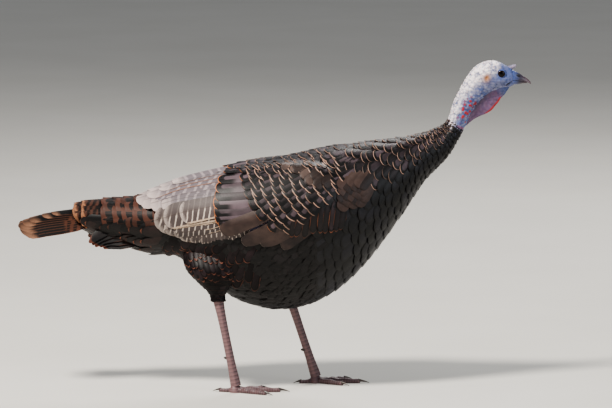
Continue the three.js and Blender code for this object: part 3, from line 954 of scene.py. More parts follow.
# %% Barred quills
def barred(name, field, bar, edge, tip, bars, dark_share=0.5, slant=0.05, band_at=None, tip_at=0.96,
           tip_soft=0.03, edge_at=0.9, mottle=0.4, crisp=0.14, inner=1.0, streak=0, rough=0.5, gloss=0.25):
    """Bars cross the vane where the sine of its length times 2 pi times bars is high. A rim line runs
    along the outer web, an optional dark band and a pale tip follow near the end. inner is how
    strong the bars are on the inner web, which other feathers mostly hide. streak darkens the
    pale tip along the shaft."""
    look = Look(name, Sheen_Weight=0.03, Sheen_Roughness=0.4, Specular_IOR_Level=gloss)
    across, along = look.vane()
    luck = look.kept("luck")
    grain, soft, flecks = look.noise(420, 2), look.noise(60, 2), look.noise(900, 2, (1, 1, 2.5))
    phase = along - across * slant + (soft - 0.5) * 0.03 + luck * 0.08
    wave = (phase * (bars * 2 * pi)).wave() * 0.5 + 0.5 + (flecks - 0.5) * mottle
    limit = 1 - dark_share
    colour = look.mix((soft * 0.8 + flecks * 0.4 - 0.1).within(), shade(field[0]), shade(field[1]))
    share = across.step(-0.15, 0.2) * (1 - inner) + inner
    colour = look.mix(wave.step(limit - crisp, limit + crisp) * share, colour, shade(bar))
    if band_at is not None:
        low, high = band_at
        begun = (along + (grain - 0.5) * 0.04).step(low - 0.02, low + 0.02)
        ended = along.step(high - 0.015, high + 0.015)
        colour = look.mix((begun - ended).within(), colour, shade("0a0809"))
    rim = (across + (grain - 0.5) * 0.08).step(edge_at - 0.03, edge_at + 0.03)
    colour = look.mix(rim * 0.9, colour, shade(edge))
    end = (along + across.size() * 0.05 + (grain - 0.5) * 0.05).step(tip_at - tip_soft, tip_at + tip_soft)
    colour = look.mix(end * (across.size() * streak + (1 - streak)).within(), colour, shade(tip))
    shaft = 1 - across.size().step(0.02, 0.05)
    colour = look.mix(shaft * 0.4, colour, shade("3c2d27"))
    comb = (along * 900 + across.size() * 120 + grain * 2).wave()
    look.set(Base_Color=look.tint(colour, luck * 0.35 + 0.82), Roughness=grain * 0.15 + (rough - 0.05),
             Normal=look.bump(comb, 0.00005, 0.15))
    return look.material


# %% The skin in place of the nodes of flesh
FLESH = ["trunk", "tail_coverts", "tail", "neck_feathered", "neck_bare", "head", "snood", "wattle"]
for name in LEGS:
    FLESH += [f"{part}_{name}" for part in ("wing", "thigh", "shank", "foot")]
    FLESH += [f"toe_{toe}_{name}" for toe in TOES]
skin.data.shade_smooth()
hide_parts(*FLESH)
ride(skin, skin_look())
print("the skin stands for", len(FLESH), "nodes")

# %% [markdown]
# ## Eyes, bill and claws
# These stay pieces of their own, because they are another stuff than skin. The eyeball sits deep:
# most of it is inside the head, and the lids cover its rim. The bill is horn over bone. Each half is
# a row of sections from root to tip, and the upper one hooks a little over the lower.

# %% Eyes
EYE_POLE = 0.04


def eye_rings(side):
    """A ball round the eye's axis, a little flat, with the cornea swollen by a small smooth cap."""
    turn, around = tube_grid(np.linspace(EYE_POLE, pi - EYE_POLE, 40), 48)
    radius = EYE_RADIUS - 0.15 + 0.3 * np.exp(-((turn / 0.5) ** 2))
    x = EYE[0] + radius * np.sin(turn) * np.cos(around)
    z = EYE[1] + radius * np.sin(turn) * np.sin(around)
    return np.stack([x, side * (EYE_OUT + 1 + 0.8 * radius * np.cos(turn)), z], -1)


def eye_look():
    """A brown iris round a black pupil, by distance from the eye's axis. The ball is smooth and wet,
    so it shines, but its low IOR keeps the shine weak enough for the iris to show."""
    look = Look("dark_wet_eye", Roughness=0.04, IOR=1.28)
    dx = look.part(look.place(), 0) - (EYE[0] - MIDDLE_X) * MM
    dz = look.part(look.place(), 2) - EYE[1] * MM
    far = (dx * dx + dz * dz) ** 0.5 / MM
    colour = look.mix(far.step(3.1, 3.5), shade("050405"), shade("150b08"))
    streak = look.noise(900, 2)
    colour = look.mix(streak * far.step(3.3, 3.8), colour, shade("22130c"))
    colour = look.mix(far.step(5.2, 6.3), colour, shade("0a0808"))
    look.set(Base_Color=colour)
    return look.material


dark_eye = eye_look()
for name, leg in LEGS.items():
    stand_in(f"eye_{name}", f"eyeball_{name}", eye_rings(leg["side"]), dark_eye)
print("eyeballs of", 2 * EYE_RADIUS, "mm")

# %% Bill
UPPER_BILL = [  # x, outer z, mouth z, half width
    (432, 594, 573, 7.5), (439, 593.4, 573.8, 8.8), (447, 590.2, 574, 8.4), (455, 585.6, 573, 7.1),
    (463, 580.6, 571.8, 5.6), (470, 575.8, 569.4, 3.7), (474.5, 571.2, 567, 2.0), (476, 568.2, 566.2, 0.8),
]
LOWER_BILL = [
    (432, 566, 573, 7), (439, 565.2, 573.5, 8.4), (447, 565.2, 573.2, 7.5), (455, 566.3, 572.3, 5.8),
    (463, 567.4, 571.2, 4), (468.5, 567.6, 569.3, 2),
]
NOSTRIL = np.array([452.5, 582.3])


def bill_rings(sections):
    """Each section is half an oval from the mouth line outwards: z = mouth + (outer - mouth) times
    the sine to the 0.8, y = half width times the cosine, closed by a slightly hollow mouth side."""
    s, a = tube_grid(np.linspace(0, 1, 60), 48)
    x, outer, mouth, half = columns_at(sections, s)
    up = np.sin(a)
    z = mouth + (outer - mouth) * np.where(up > 0, np.abs(up) ** 0.8, 0.06 * up)
    y = half * np.cos(a) * (1 - 0.1 * np.maximum(up, 0) ** 2)
    dent = bump(x, z, NOSTRIL, 4.6, 1.5, -28) * 1.3
    y = y - np.sign(y) * np.minimum(dent, np.abs(y))
    flaky = 0.12 * soft_noise(np.stack([x * 0.4, y, z * 1.5], -1), 1.4, 51)
    return np.stack([x, y, z + flaky * up], -1)


def horn(name, root, middle, tip, from_x, to_x, nostril=None):
    """Horn that changes colour along x, with fine lengthwise streaks, and painted shade within an ellipse
    round the nostril's opening, where (dx / 4.2)^2 + (dz / 2.6)^2 is under 1."""
    look = Look(name, Coat_Weight=0.25, Coat_Roughness=0.3)
    x = look.part(look.place(), 0) / MM + MIDDLE_X
    streak = look.noise(500, 3, (0.25, 1, 1))
    share = (x - from_x) / (to_x - from_x) + (streak - 0.5) * 0.25
    stops = [(0.0, shade(root)), (0.4, shade(middle)), (1.0, shade(tip))]
    colour = look.node("ValToRGB", {"stops": stops}, {0: share})
    if nostril is not None:
        z = look.part(look.place(), 2) / MM
        dx, dz = (x - nostril[0]) / 4.2, (z - nostril[1] + (x - nostril[0]) * 0.3) / 2.6
        # painted shade in the nostril's opening, which the mesh only dents
        hollow = 1 - (dx * dx + dz * dz).step(0.3, 1.2)
        colour = look.mix(hollow * 0.9, colour, shade("0c0b12"))
    look.set(Base_Color=look.tint(colour, streak * 0.5 + 0.75), Roughness=streak * 0.2 + 0.28,
             Normal=look.bump(streak, 0.0002, 0.4))
    return look.material


bill_look = horn("bill_horn", "4a5a90", "2a2737", "5c464c", 441, 477, NOSTRIL)
for name, sections in (("bill_upper", UPPER_BILL), ("bill_lower", LOWER_BILL)):
    stand_in(name, f"{name}_horn", bill_rings(sections), bill_look)
print("bill from x", UPPER_BILL[0][0], "to", UPPER_BILL[-1][0])

# %% Claws and spurs


def claw_rings(leg, toe):
    """Ovals that narrow along a curve that dips to the floor, hollowed a little below."""
    turn, length, _, claw, thick = TOES[toe]
    start, ahead, across = toe_frame(leg, turn)
    s, a = tube_grid(np.linspace(0, 1, 24), 16)
    radius = (3.4 + (0.45 - 3.4) * s**0.8) * thick
    point = start + ahead * (length - 4 + (claw + 4) * s)[..., None]
    point = point + across * (radius * 0.8 * np.cos(a))[..., None]
    point[..., 2] = np.maximum(5.2 + (0.9 - 5.2) * s**1.7 + radius * np.sin(a), 0)
    return point


def spur_rings(leg):
    """A blunt low cone on the back of the shank: a young male's spur is only a button."""
    away = np.array([-1, -leg["side"] * 0.35, 0.15])
    away /= np.linalg.norm(away)
    side = np.cross(away, [0, 0, 1.0])
    side /= np.linalg.norm(side)
    over = np.cross(side, away)
    s, a = tube_grid(np.linspace(0, 1, 16), 16)
    radius = (4.4 - 2.8 * s) * np.sqrt(1 - 0.9 * np.clip((s - 0.8) / 0.2, 0, 1) ** 2)
    point = leg["foot"] + (leg["ankle"] - leg["foot"]) * 0.3 + away * (2.5 + 11 * s)[..., None]
    return point + side * (radius * np.cos(a))[..., None] + over * (radius * np.sin(a))[..., None]


claw_look = horn("claw_horn", "3a2f2c", "2b2422", "4d423c", -150, 150)
for name, leg in LEGS.items():
    for toe in TOES:
        stand_in(f"claw_{toe}_{name}", f"nail_{toe}_{name}", claw_rings(leg, toe), claw_look)
    stand_in(f"spur_{name}", f"spur_button_{name}", spur_rings(leg), claw_look)
print(len(LEGS) * len(TOES), "claws and", len(LEGS), "spurs")

# %% [markdown]
# ## What a feather is here
# A feather is a thin vane on a shaft. It is parallel-sided, with a rounded tip, a little arched
# across, and it leans back over the ones behind it as a roof tile does. Hair curves or scattered
# copies would be the usual way to clothe an animal. Here each tract is one real mesh instead, made
# from arrays that hold all its vanes at once. Each vane is a flat closed tube of six points round,
# laid over a surface by that surface's own coordinates.

# %% The vane
VANE_X = np.array([-1, -0.5, 0, 0.5, 1, 0])  # the six points round it: their places across
VANE_THICK = np.array([0, 0.8, 1.1, 0.8, 0, -0.5])  # and their heights, as shares of its thickness
VANE_CAPS = np.array([[0, 5, 2, 1], [5, 4, 3, 2]]), np.array([[0, 1, 2, 5], [2, 3, 4, 5]])
SHORT = np.array([0, 0.3, 0.55, 0.72, 0.85, 0.94, 0.985, 1])
LONG = np.array([0, 0.16, 0.32, 0.46, 0.6, 0.7, 0.79, 0.87, 0.93, 0.97, 0.99, 1])
NARROW = 0.07
PATCH = 0.003  # a small vane's share of the baking map
FILLED = 0.92  # how much of its own square a great one fills


def outline(v, shoulder, blunt):
    """Half width along the vane: it widens from the quill, runs parallel, and beyond the shoulder
    closes as a superellipse, (1 - y^blunt)^(1/blunt)."""
    y = np.clip((v - shoulder) / (1 - shoulder), 0, 1)
    end = (1 - y**blunt) ** (1 / blunt)
    return np.maximum(end * (0.45 + 0.55 * softly(v, 0, 0.45)), NARROW)


def metric(surface, p, q):
    """Millimetres for one unit of each surface coordinate, from points a little way apart."""
    step = 0.02
    along = surface(p + step, q, 0) - surface(p - step, q, 0)
    across = surface(p, q + step, 0) - surface(p, q - step, 0)
    return [np.maximum(np.linalg.norm(way, axis=-1) / (2 * step), 1e-3) for way in (along, across)]


class Tract:
    """A list of vanes over one surface. Each has a root and a tip in the surface's coordinates, a
    half width, heights of root and tip above the surface, and a place on the skin's unwrap."""

    def __init__(self, surface, stations=SHORT, shoulder=0.78, blunt=2.2, thick=0.45):
        self.surface, self.stations = surface, stations
        self.wide = outline(stations, shoulder, blunt)[:, None]
        self.height = thick * VANE_THICK * (0.4 + 0.6 * self.wide)
        self.vanes = []

    def add(self, root, tip, half, low, high, tilt=0.0, camber=1.5, curl=1.0, web=1):
        """Vanes from root to tip. tilt raises the outer edge, camber drops both, and curl is the power
        of the rise from low to high. web says which edge is outer."""
        values = np.broadcast_arrays(*root, *tip, half, low, high, tilt, camber, curl, web)
        self.vanes.append(np.stack([np.ravel(value).astype(float) for value in values]))

    def points(self):
        """Midline = root + (tip - root) v. A point x across it is moved at right angles by the
        surface's own millimetres, and its height is low + (high - low) v^curl + tilt x - camber x^2."""
        values = np.concatenate(self.vanes, 1)[..., None]
        p0, q0, p1, q1, half, low, high, tilt, camber, curl, web = values
        v = self.stations
        p, q = p0 + (p1 - p0) * v, q0 + (q1 - q0) * v
        mm_p, mm_q = metric(self.surface, p, q)
        run_p, run_q = (p1 - p0) * mm_p, (q1 - q0) * mm_q
        length = np.hypot(run_p, run_q)
        x = self.wide * VANE_X
        shift = half[..., None] * x
        p = p[..., None] - shift * (run_q / length / mm_p)[..., None]
        q = q[..., None] + shift * (run_p / length / mm_q)[..., None]
        height = (low + (high - low) * v**curl)[..., None] + (web * tilt)[..., None] * x
        return self.surface(p, q, height - camber[..., None] * x**2 + self.height)

    def build(self, name, look, islands=False):
        """Joins all the vanes into one mesh with its maps. Small vanes get a small patch of the baking
        map at their root's place on the unwrapped body, and great ones an island each."""
        points = self.points()
        count, rows, columns = points.shape[:3]
        end_cap = VANE_CAPS[1] + (rows - 1) * columns
        one = np.concatenate([tube_faces(rows, columns), VANE_CAPS[0], end_cap])
        faces = one + (np.arange(count) * rows * columns)[:, None, None]
        mesh = outward(to_mesh(name, points, faces.reshape(-1, 4).tolist()))
        each = partial(np.repeat, repeats=rows * columns)
        store(mesh, "luck", each(rng.random(count)))
        across = np.tile((self.wide * VANE_X).ravel(), count) * each(np.concatenate(self.vanes, 1)[-1])
        along = np.tile(np.repeat(self.stations, columns), count)
        store_map(mesh, "Vane", np.stack([across, along], -1))
        patch = np.stack([across, along * 2 - 1], -1) / 2
        if islands:
            grid = int(np.ceil(np.sqrt(count)))
            order = np.arange(count)
            centre = np.stack([each(order % grid), each(order // grid)], -1) / grid + 0.5 / grid
            patch = patch * FILLED / grid
        else:
            roots = np.concatenate(self.vanes, 1)[:2]
            centre = np.stack([each(roots[0] / len(STATIONS)), each((roots[1] / 360 + 0.5) % 1)], -1)
            patch = patch * PATCH
        store_map(mesh, "OFBake", np.clip(centre + patch, 0, 1))
        mesh.shade_smooth()
        mesh.set_sharp_from_angle(angle=radians(50))
        print(name, count, "vanes", len(faces) * len(one) * 2, "triangles")
        ride(obj(name, mesh), look)


# %% [markdown]
# ## Where feathers are rooted
# Feathers grow in rings round the body, and each ring is shifted by part of a feather against the
# last, so that they also stand in slanting lines. A ring is set out by true length round the body,
# and rings follow each other by true length along it. Scattering roots at random would be simpler,
# but a bird's plumage looks right only when its rows can be followed by eye.

# %% Rings of roots
ALONG = [2, 4, 5.5, 8, 10, 11, 12, 13, 14, 14.8, 15.4]
LENGTH = [40, 46, 48, 46, 44, 42, 38, 30, 22, 15, 11]
HALF = [16, 18, 18, 18, 18, 17.5, 16, 12, 9, 6, 4.2]
GAP = [15, 16, 16, 16, 16, 15.5, 13, 9.5, 7, 5, 3.6]
ROW_SHIFT = 0.3
FEWEST = 8


def plumed(t, angle, height):
    """The body's outline with the folded wing on it."""
    return body(t, angle, height + swell(t, angle))


def ring_stations(first, last):
    """Stations that follow each other at the feathers' gap, measured along the flank."""
    t = np.linspace(first, last, 3000)
    step = np.linalg.norm(np.diff(body(t, 60, 0), axis=0), axis=-1)
    count = np.concatenate([[0], np.cumsum(step / np.interp(t[1:], ALONG, GAP))])
    return np.interp(np.arange(int(count[-1]) + 1), count, t)


def rooted(first, last, closeness=1.5):
    """Stations and angles of all roots, ring after ring, with a little disorder."""
    angles = np.linspace(-180, 180, 721)
    found = []
    for number, t in enumerate(ring_stations(first, last)):
        reach = np.linalg.norm(np.diff(body(t, angles, 0), axis=0), axis=-1).cumsum()
        reach = np.concatenate([[0], reach])
        count = max(FEWEST, round(reach[-1] / (np.interp(t, ALONG, HALF) * closeness)))
        spot = np.arange(count) + ROW_SHIFT * number % 1 + rng.uniform(-0.12, 0.12, count)
        angle = np.interp(spot / count * reach[-1] % reach[-1], reach, angles)
        found.append(np.stack([t + rng.uniform(-0.03, 0.03, count), angle]))
    return np.concatenate(found, 1)


def laid(tract, t, angle, lean, length=1.0, half=1.0, low=-6.0, high=0.6, **shape):
    """Adds vanes that point to the tail, turned down the flank by lean degrees."""
    mm_t, mm_a = metric(tract.surface, t, angle)
    reach = np.interp(t, ALONG, LENGTH) * length * rng.uniform(0.93, 1.07, t.shape)
    turn = np.radians(lean + rng.normal(0, 3.5, t.shape))
    tip = t - reach * np.cos(turn) / mm_t, angle + np.sign(angle) * reach * np.sin(turn) / mm_a
    wide = np.interp(t, ALONG, HALF) * half * rng.uniform(0.92, 1.06, t.shape)
    tract.add((t, angle), tip, wide, low, high + rng.uniform(-0.5, 0.5, t.shape), **shape)


def under_wing(t, angle, margin_up, margin_down):
    """Whether a root is hidden by the folded wing, inside margins of some degrees."""
    s = (t - WING_TIP) / (WING_WRIST - WING_TIP)
    upper, lower = even(WING_UPPER, s) + margin_up, even(WING_LOWER, s) - margin_down
    return (s > 0.2) & (s < 0.97) & (np.abs(angle) > upper) & (np.abs(angle) < lower)


roots_t, roots_a = np.concatenate([rooted(3.2, 15.35), rooted(13.5, 15.45), rooted(14.3, 15.4)], 1)
free = ~under_wing(roots_t, roots_a, 8, 6)
roots_t, roots_a = roots_t[free], roots_a[free]
print(len(roots_t), "roots on the body")

# %% [markdown]
# ## Mantle
# The back's feathers are broad and rounded, purplish bronze with a black band and a thin pale rim.
# The rims make the fine arcs that run down a turkey's back. Each feather leans a little further
# down the flank the further it grows from the spine.

# %% Mantle
side_on = np.abs(roots_a)
on_mantle = (side_on < np.interp(roots_t, [7, 9, 11, 13, 15.4], [40, 50, 62, 75, 70])) & (roots_t > 6.5)
under_scapulars = (roots_t > 6.5) & (roots_t < 10.7) & (side_on > 7) & (side_on < 30)
mantle_look = plumage("mantle_bronze", ("161113", "3a3035"), "060506", "97796a", band_at=0.45,
                      rim_at=0.87, sides=0.8, tinted=0.35)
mantle = Tract(plumed)
t, a = roots_t[on_mantle & ~under_scapulars], roots_a[on_mantle & ~under_scapulars]
laid(mantle, t, a, np.interp(np.abs(a), [0, 20, 60], [0, 8, 18]))
mantle.build("mantle_feathers", mantle_look)

# %% [markdown]
# ## Breast and belly
# The breast is the blackest part, with a cold gloss instead of rims. Towards the belly the feathers
# lose their firm edge and turn loose and downy. Three thinner sheets of narrow pointed vanes, one
# over the other, look softer than one sheet of broad ones.

# %% Breast
on_breast = ~on_mantle & (roots_t > 10.2)
breast_look = plumage("breast_black", ("070607", "131217"), "040304", "241b19", rim_share=0.25, coat=0.1)
breast = Tract(plumed)
t, a = roots_t[on_breast], roots_a[on_breast]
laid(breast, t, a, np.interp(np.abs(a), [60, 120, 180], [22, 12, 0]), low=-4.5, high=0.2, camber=1.0)
breast.build("breast_feathers", breast_look)

# %% Belly
belly_look = plumage("belly_black", ("080607", "151112"), "050404", "38221b", rim_share=0.4, gloss=0.28)
belly = Tract(body, shoulder=0.4, blunt=1.7)
for start in (3.2, 3.35, 3.5):
    t, a = rooted(start, 10.4, 1.25)
    low_down = np.abs(a) > np.interp(t, [3, 6.5, 7, 9, 11], [70, 75, 84, 88, 80])
    keep = low_down & ~under_wing(t, a, 8, 14)
    t, a = t[keep], a[keep]
    lean = np.interp(np.abs(a), [60, 120, 180], [26, 14, 0]) + rng.normal(0, 9, t.shape)
    laid(belly, t, a, lean, length=1.25, half=0.7, low=-5, high=0.4, camber=1.0)
belly.build("belly_feathers", belly_look)

# %% [markdown]
# ## Behind the legs
# Under the tail hang longer feathers with rusty ends, which give the bird's underside its ragged
# outline there. Between the folded wings a narrow strip of the rump shows.

# %% Undertail and rump
undertail = Tract(body, shoulder=0.5, blunt=1.8)
t, a = rooted(3.6, 6.4, 1.3)
under = np.abs(a) > 100
t, a = t[under], a[under]
lean, height = rng.normal(0, 7, t.shape), rng.uniform(0.5, 6, t.shape)
laid(undertail, t, a, lean, length=1.5, half=0.7, low=-5, high=height)
undertail_look = plumage("undertail_rusty", ("120c0c", "261917"), "090606", "6b3d2d",
                         rim_at=0.8, rim_share=0.9)
undertail.build("undertail_coverts", undertail_look)

rump = Tract(plumed, blunt=2.5)
for number, t in enumerate(np.arange(5.2, 8.8, 0.22)):
    a = np.arange(-1, 2) * 5 + 2 * (number % 2) + rng.normal(0, 0.7, 3)
    laid(rump, np.full(3, t), a, 0, low=-5, high=-1.5)
rump.build("rump_feathers", mantle_look)

# %% [markdown]
# ## Upper tail coverts
# Seven rows of broad feathers lie over the tail's root. Each is chestnut at its end with a black bar
# before it, so the rows together make even bars across the tail. Two rows of longer ones beyond are
# mottled all over and end in buff. A row is set out by millimetres from the coverts' end.

# %% Barred rows
COVERT_FIRST, COVERT_STEP, COVERT_COUNT = 57, 19, 7
IN_ROW = 9
back = np.linspace(2.0, 6.2, 400)
covert_reach = np.linalg.norm(np.diff(body(back, 45, 0), axis=0), axis=-1).cumsum()


def across_back(end, length):
    """Root and tip of one row of coverts whose tips lie end millimetres from the coverts' end."""
    t = np.interp(end, covert_reach, back[1:]) + rng.normal(0, 0.05, IN_ROW)
    a = np.linspace(-92, 92, IN_ROW) + rng.normal(0, 1.5, IN_ROW)
    mm_t, _ = metric(body, t, a)
    return (t + length * rng.uniform(0.95, 1.05, IN_ROW) / mm_t, a * 0.86), (t, a)


tail_coverts = Tract(body, blunt=2.6)
for number in range(COVERT_COUNT):
    root, tip = across_back(COVERT_FIRST + COVERT_STEP * number, 72)
    tail_coverts.add(root, tip, 21, -5.5, 0.6 - 0.12 * number, camber=1.2)
tail_covert_look = plumage("tail_covert", ("2a1a14", "482c22"), "060404", "472b22", band_at=0.02,
                           rim_at=0.6, rim_share=1.6, shoulder=0.68, gloss=0.2, rough=0.55)
tail_coverts.build("tail_coverts_upper", tail_covert_look)

# %% Long mottled rows
long_coverts = Tract(body, LONG, shoulder=0.8, blunt=2.4)
for end, high in ((3, -0.2), (20, 0.2)):
    root, tip = across_back(end, 95)
    long_coverts.add(root, tip, 22, -7, high, camber=1.2)
long_covert_look = barred("long_tail_covert", ("2f1d17", "54352a"), "120a08", "543429", "8a6047", 9,
                          dark_share=0.5, band_at=(0.56, 0.7), tip_at=0.965, tip_soft=0.02, mottle=2.6,
                          gloss=0.12, rough=0.6)
long_coverts.build("tail_coverts_long", long_covert_look, islands=True)

# %% [markdown]
# ## Thighs and flanks
# The drumstick is short-feathered and black. Over its outer side hangs a skirt of narrow feathers
# with broad chestnut edges, and more of them hang from under the wing. The thigh has a surface of
# its own, with distance down it in place of the station, so the same tract code covers it.

# %% Thighs
thigh_look = plumage("thigh_black", ("110d0e", "241c1e"), "080607", "4d3129", rim_at=0.86, rim_share=0.4,
                     gloss=0.15)
flank_look = plumage("flank_rusty", ("120d0e", "241b1d"), "080607", "75493b", rim_at=0.8, rim_share=0.7,
                     gloss=0.15, sides=1.05)
THIGH_ROWS, THIGH_ROUND = 13, 15
for name, leg in LEGS.items():
    thigh_surface = partial(thigh_point, leg)
    thigh = Tract(thigh_surface)
    s, angle = tube_grid(np.linspace(-0.36, 0.88, THIGH_ROWS), THIGH_ROUND, 360)
    angle = angle + np.arange(THIGH_ROWS)[:, None] % 2 * 12 + rng.uniform(-5, 5, angle.shape)
    s = s + rng.uniform(-0.03, 0.03, s.shape)
    size = 1 - 0.5 * np.clip(s, 0, 1)
    tip = s + 0.42 * size, angle + rng.uniform(-6, 6, s.shape)
    thigh.add((s, angle), tip, 16 * size, -6, 0.4, camber=1.2)
    thigh.build(f"thigh_feathers_{name}", thigh_look)

    skirt = Tract(thigh_surface, shoulder=0.55, blunt=1.9)
    s, turn = np.meshgrid([-0.5, -0.34, -0.18, -0.02], np.arange(-70, 71, 10), indexing="ij")
    s, turn = s + rng.uniform(-0.04, 0.04, s.shape), turn + rng.uniform(-3, 3, s.shape)
    angle = leg["side"] * 90 + turn
    tip = s + rng.uniform(0.5, 0.75, s.shape), angle - leg["side"] * 8
    skirt.add((s, angle), tip, 8, -3, 3.4, camber=1.0)
    skirt.build(f"thigh_skirt_{name}", flank_look)

# %% Flank, hanging over the thigh
flank = Tract(body, shoulder=0.6, blunt=2)
for row, angle in enumerate((112, 102, 92)):
    for side in (RIGHT, LEFT):
        t = np.arange(5.9 - 0.1 * row, 8.5, 0.17)
        t = t + rng.uniform(-0.05, 0.05, t.shape)
        a = np.interp(t, [5.5, 7, 8.5], [angle - 8, angle + 2, angle - 2]) + rng.normal(0, 1.5, t.shape)
        lean = 78 + rng.normal(0, 8, t.shape)
        laid(flank, t, side * a, lean, length=1.3, half=0.55, low=-2, high=4.0 - row)
flank.build("flank_feathers", flank_look)

# %% [markdown]
# ## The shoulder
# Small smooth brown coverts round off the wing's wrist. Below it, narrow feathers hang side by side,
# and their rusty edges draw upright lines. A few paler feathers on the back have been ruffled and lie
# crosswise. These small irregular groups are what makes a model bird look like one certain bird.

# %% Wrist
wrist = Tract(plumed)
for row, start in enumerate(np.arange(10.75, 11.3, 0.11)):
    a = np.arange(52 + 3 * (row % 2), 71, 6) + 0.8 * row
    for side in (RIGHT, LEFT):
        laid(wrist, np.full(a.shape, start), side * a, 40, length=0.8, half=0.85, low=-1, high=3.2,
             camber=0.8)
wrist_look = plumage("wrist_brown", ("1d1514", "3a2b26"), "2c211d", "3a2b26", band_at=0.9, rim_at=0.97,
                     rim_share=0.1, tinted=0.2)
wrist.build("wrist_coverts", wrist_look)

# %% Hanging feathers
shoulder_streaks = Tract(plumed, shoulder=0.6, blunt=2)
for side in (RIGHT, LEFT):
    t = np.arange(9.35, 10.55, 0.15)
    a = side * np.interp(t, [9.2, 10, 10.6], [70, 71, 73])
    laid(shoulder_streaks, t, a, 82, length=1.2, half=0.5, low=-1, high=3.0, tilt=1.2, web=side)
streak_look = plumage("shoulder_streak", ("150e0f", "2b2023"), "0a0708", "7a452c", rim_at=0.84,
                      rim_share=0.9, sides=1.05)
shoulder_streaks.build("shoulder_feathers", streak_look)

# %% Ruffled feathers
RUFFLED = np.array([9.35, 9.5, 9.62, 9.75, 9.9, 10.02, 10.15, 10.3])
ruffled = Tract(plumed, shoulder=0.7, blunt=2.2)
for side in (RIGHT, LEFT):
    a = side * (np.linspace(32, 52, 8) + rng.normal(0, 2, 8))
    lean = 30 + rng.normal(0, 12, 8)
    laid(ruffled, RUFFLED, a, lean, length=0.75, half=0.8, low=-1, high=4.2, tilt=0.8, web=side)
ruffled_look = plumage("ruffled_brown", ("2e2421", "50413b"), "261c19", "5e4d44", band_at=0.8, rim_at=0.93,
                       rim_share=0.5, sides=1.05)
ruffled.build("ruffled_feathers", ruffled_look)

# %% Scapulars
scapulars = Tract(plumed, blunt=2.4)
for column in range(3):
    for side in (RIGHT, LEFT):
        t = np.arange(8.7 + 0.1 * (column % 2), 10.9, 0.22)
        a = side * (6 + 10 * column + rng.normal(0, 0.8, t.shape))
        lean = 20 + 3 * column
        laid(scapulars, t, a, lean, length=1.15, low=-3.5, high=2.2, tilt=0.3, camber=1.0, web=-side)
scapulars.build("scapulars", mantle_look)

# %% [markdown]
# ## Wing coverts
# A folded wing shows its coverts in rows. The rows start along the back and slant forward as they go
# down. The great coverts are silky, and each ends in a dark oval with a rusty rim. The small ones
# overlap so closely from side to side that each row reads as one dark line and one pale line.

# %% Great coverts


def both(tract, root, tip, **shape):
    """Adds vanes given for one wing, with angles as numbers above zero, to both wings. The outer web
    is the lower edge of a folded feather."""
    for side in (RIGHT, LEFT):
        stray = [rng.normal(0, size, np.shape(root[0])) for size in STRAY]
        start = root[0] + stray[0], side * (root[1] + stray[1])
        end = tip[0] + stray[2], side * (tip[1] + stray[3])
        tract.add(start, end, web=-side, **shape)


STRAY = (0.02, 0.5, 0.025, 0.7)  # disorder of root station and angle, tip station and angle
COVERT_TIPS = [(7.44, 8.5), (7.27, 24.5), (7.16, 40), (7.11, 54), (7.1, 64.5), (7.17, 75), (7.29, 82)]
COVERT_ROOTS = [(8.75, 18), (8.75, 31), (8.7, 42), (8.65, 52), (8.6, 61), (8.5, 67), (8.5, 72)]
s = np.linspace(0, 1, 9)
greater = Tract(plumed, LONG, shoulder=0.8, blunt=2.6)
both(greater, columns_at(COVERT_ROOTS, s), columns_at(COVERT_TIPS, s), half=14.5, low=-3.5,
     high=1.0 - s * 0.3, tilt=0.9, camber=0.8)
covert_look = plumage("greater_covert", ("2f2629", "53464b"), "0a0708", "a0643e", band_at=0.3, rim_at=0.9,
                      shoulder=0.82, barbs=420)
greater.build("greater_coverts", covert_look, islands=True)

# %% Small coverts
ROW_COUNT = 11
COVERT_LENGTH = 44


def covert_row(number, s):
    """Tips of one row of small coverts. The angle runs evenly down the wing, and the station grows
    with it, faster past 55 degrees."""
    angle = 17 + s * (73 - number * 2.4)
    t = 7.72 + 0.235 * number + 0.0073 * (angle - 12) + 0.0006 * np.clip(angle - 55, 0, 90) ** 2
    return t, angle


lesser = Tract(plumed, shoulder=0.84, blunt=2.6)
medium = Tract(plumed, shoulder=0.76, blunt=2.4)
for number in range(ROW_COUNT):
    tract, count = (medium, 8) if number == 0 else (lesser, 13 - number // 2)
    t, a = covert_row(number, (np.arange(count) + 0.3 + 0.4 * (number % 2)) / count)
    lean = np.radians(np.interp(a, [15, 60, 85], [16, 33, 48]))
    mm_t, mm_a = metric(plumed, t, a)
    root = t + COVERT_LENGTH * np.cos(lean) / mm_t, a - COVERT_LENGTH * np.sin(lean) / mm_a
    both(tract, root, (t, a), half=13, low=-3.5, high=1.6, tilt=0.5, camber=0.3)
medium.build("median_coverts", covert_look)
lesser_look = plumage("lesser_covert", ("1d1618", "43383c"), "060505", "927566", band_at=0.2, rim_at=0.78,
                      shoulder=0.8, tinted=0.2, sides=0.3)
lesser.build("lesser_coverts", lesser_look)

# %% Bronze coverts
BRONZE = np.array([  # root station and angle, tip station and angle, half width, height of the tip
    (9.3, 62, 7.42, 87, 15, 2.4),
    (9.7, 68, 8.02, 91, 15, 2.2),
    (10.0, 74, 8.5, 93, 15, 2.0),
    (10.2, 78, 9.0, 94, 14, 1.8),
]).T
bronze = Tract(plumed, LONG, shoulder=0.82, blunt=2.4)
both(bronze, BRONZE[:2], BRONZE[2:4], half=BRONZE[4], low=-1.5, high=BRONZE[5], tilt=1.0, camber=0.8)
bronze_look = plumage("bronze_covert", ("1a1213", "3d2f2a"), "100c0d", "6a5a52", band_at=0.93,
                      rim_at=0.96, shoulder=0.82, barbs=420)
bronze.build("bronze_coverts", bronze_look, islands=True)

# %% [markdown]
# ## Quills of the folded wing
# When a wing folds, its quills slide under each other like a fan, with the innermost on top. Only
# the outer web of each still shows below the one above it. So each row here gives one feather, and
# how far it lies beneath the top one. Thin pale bars cross the outer webs and make small cells.

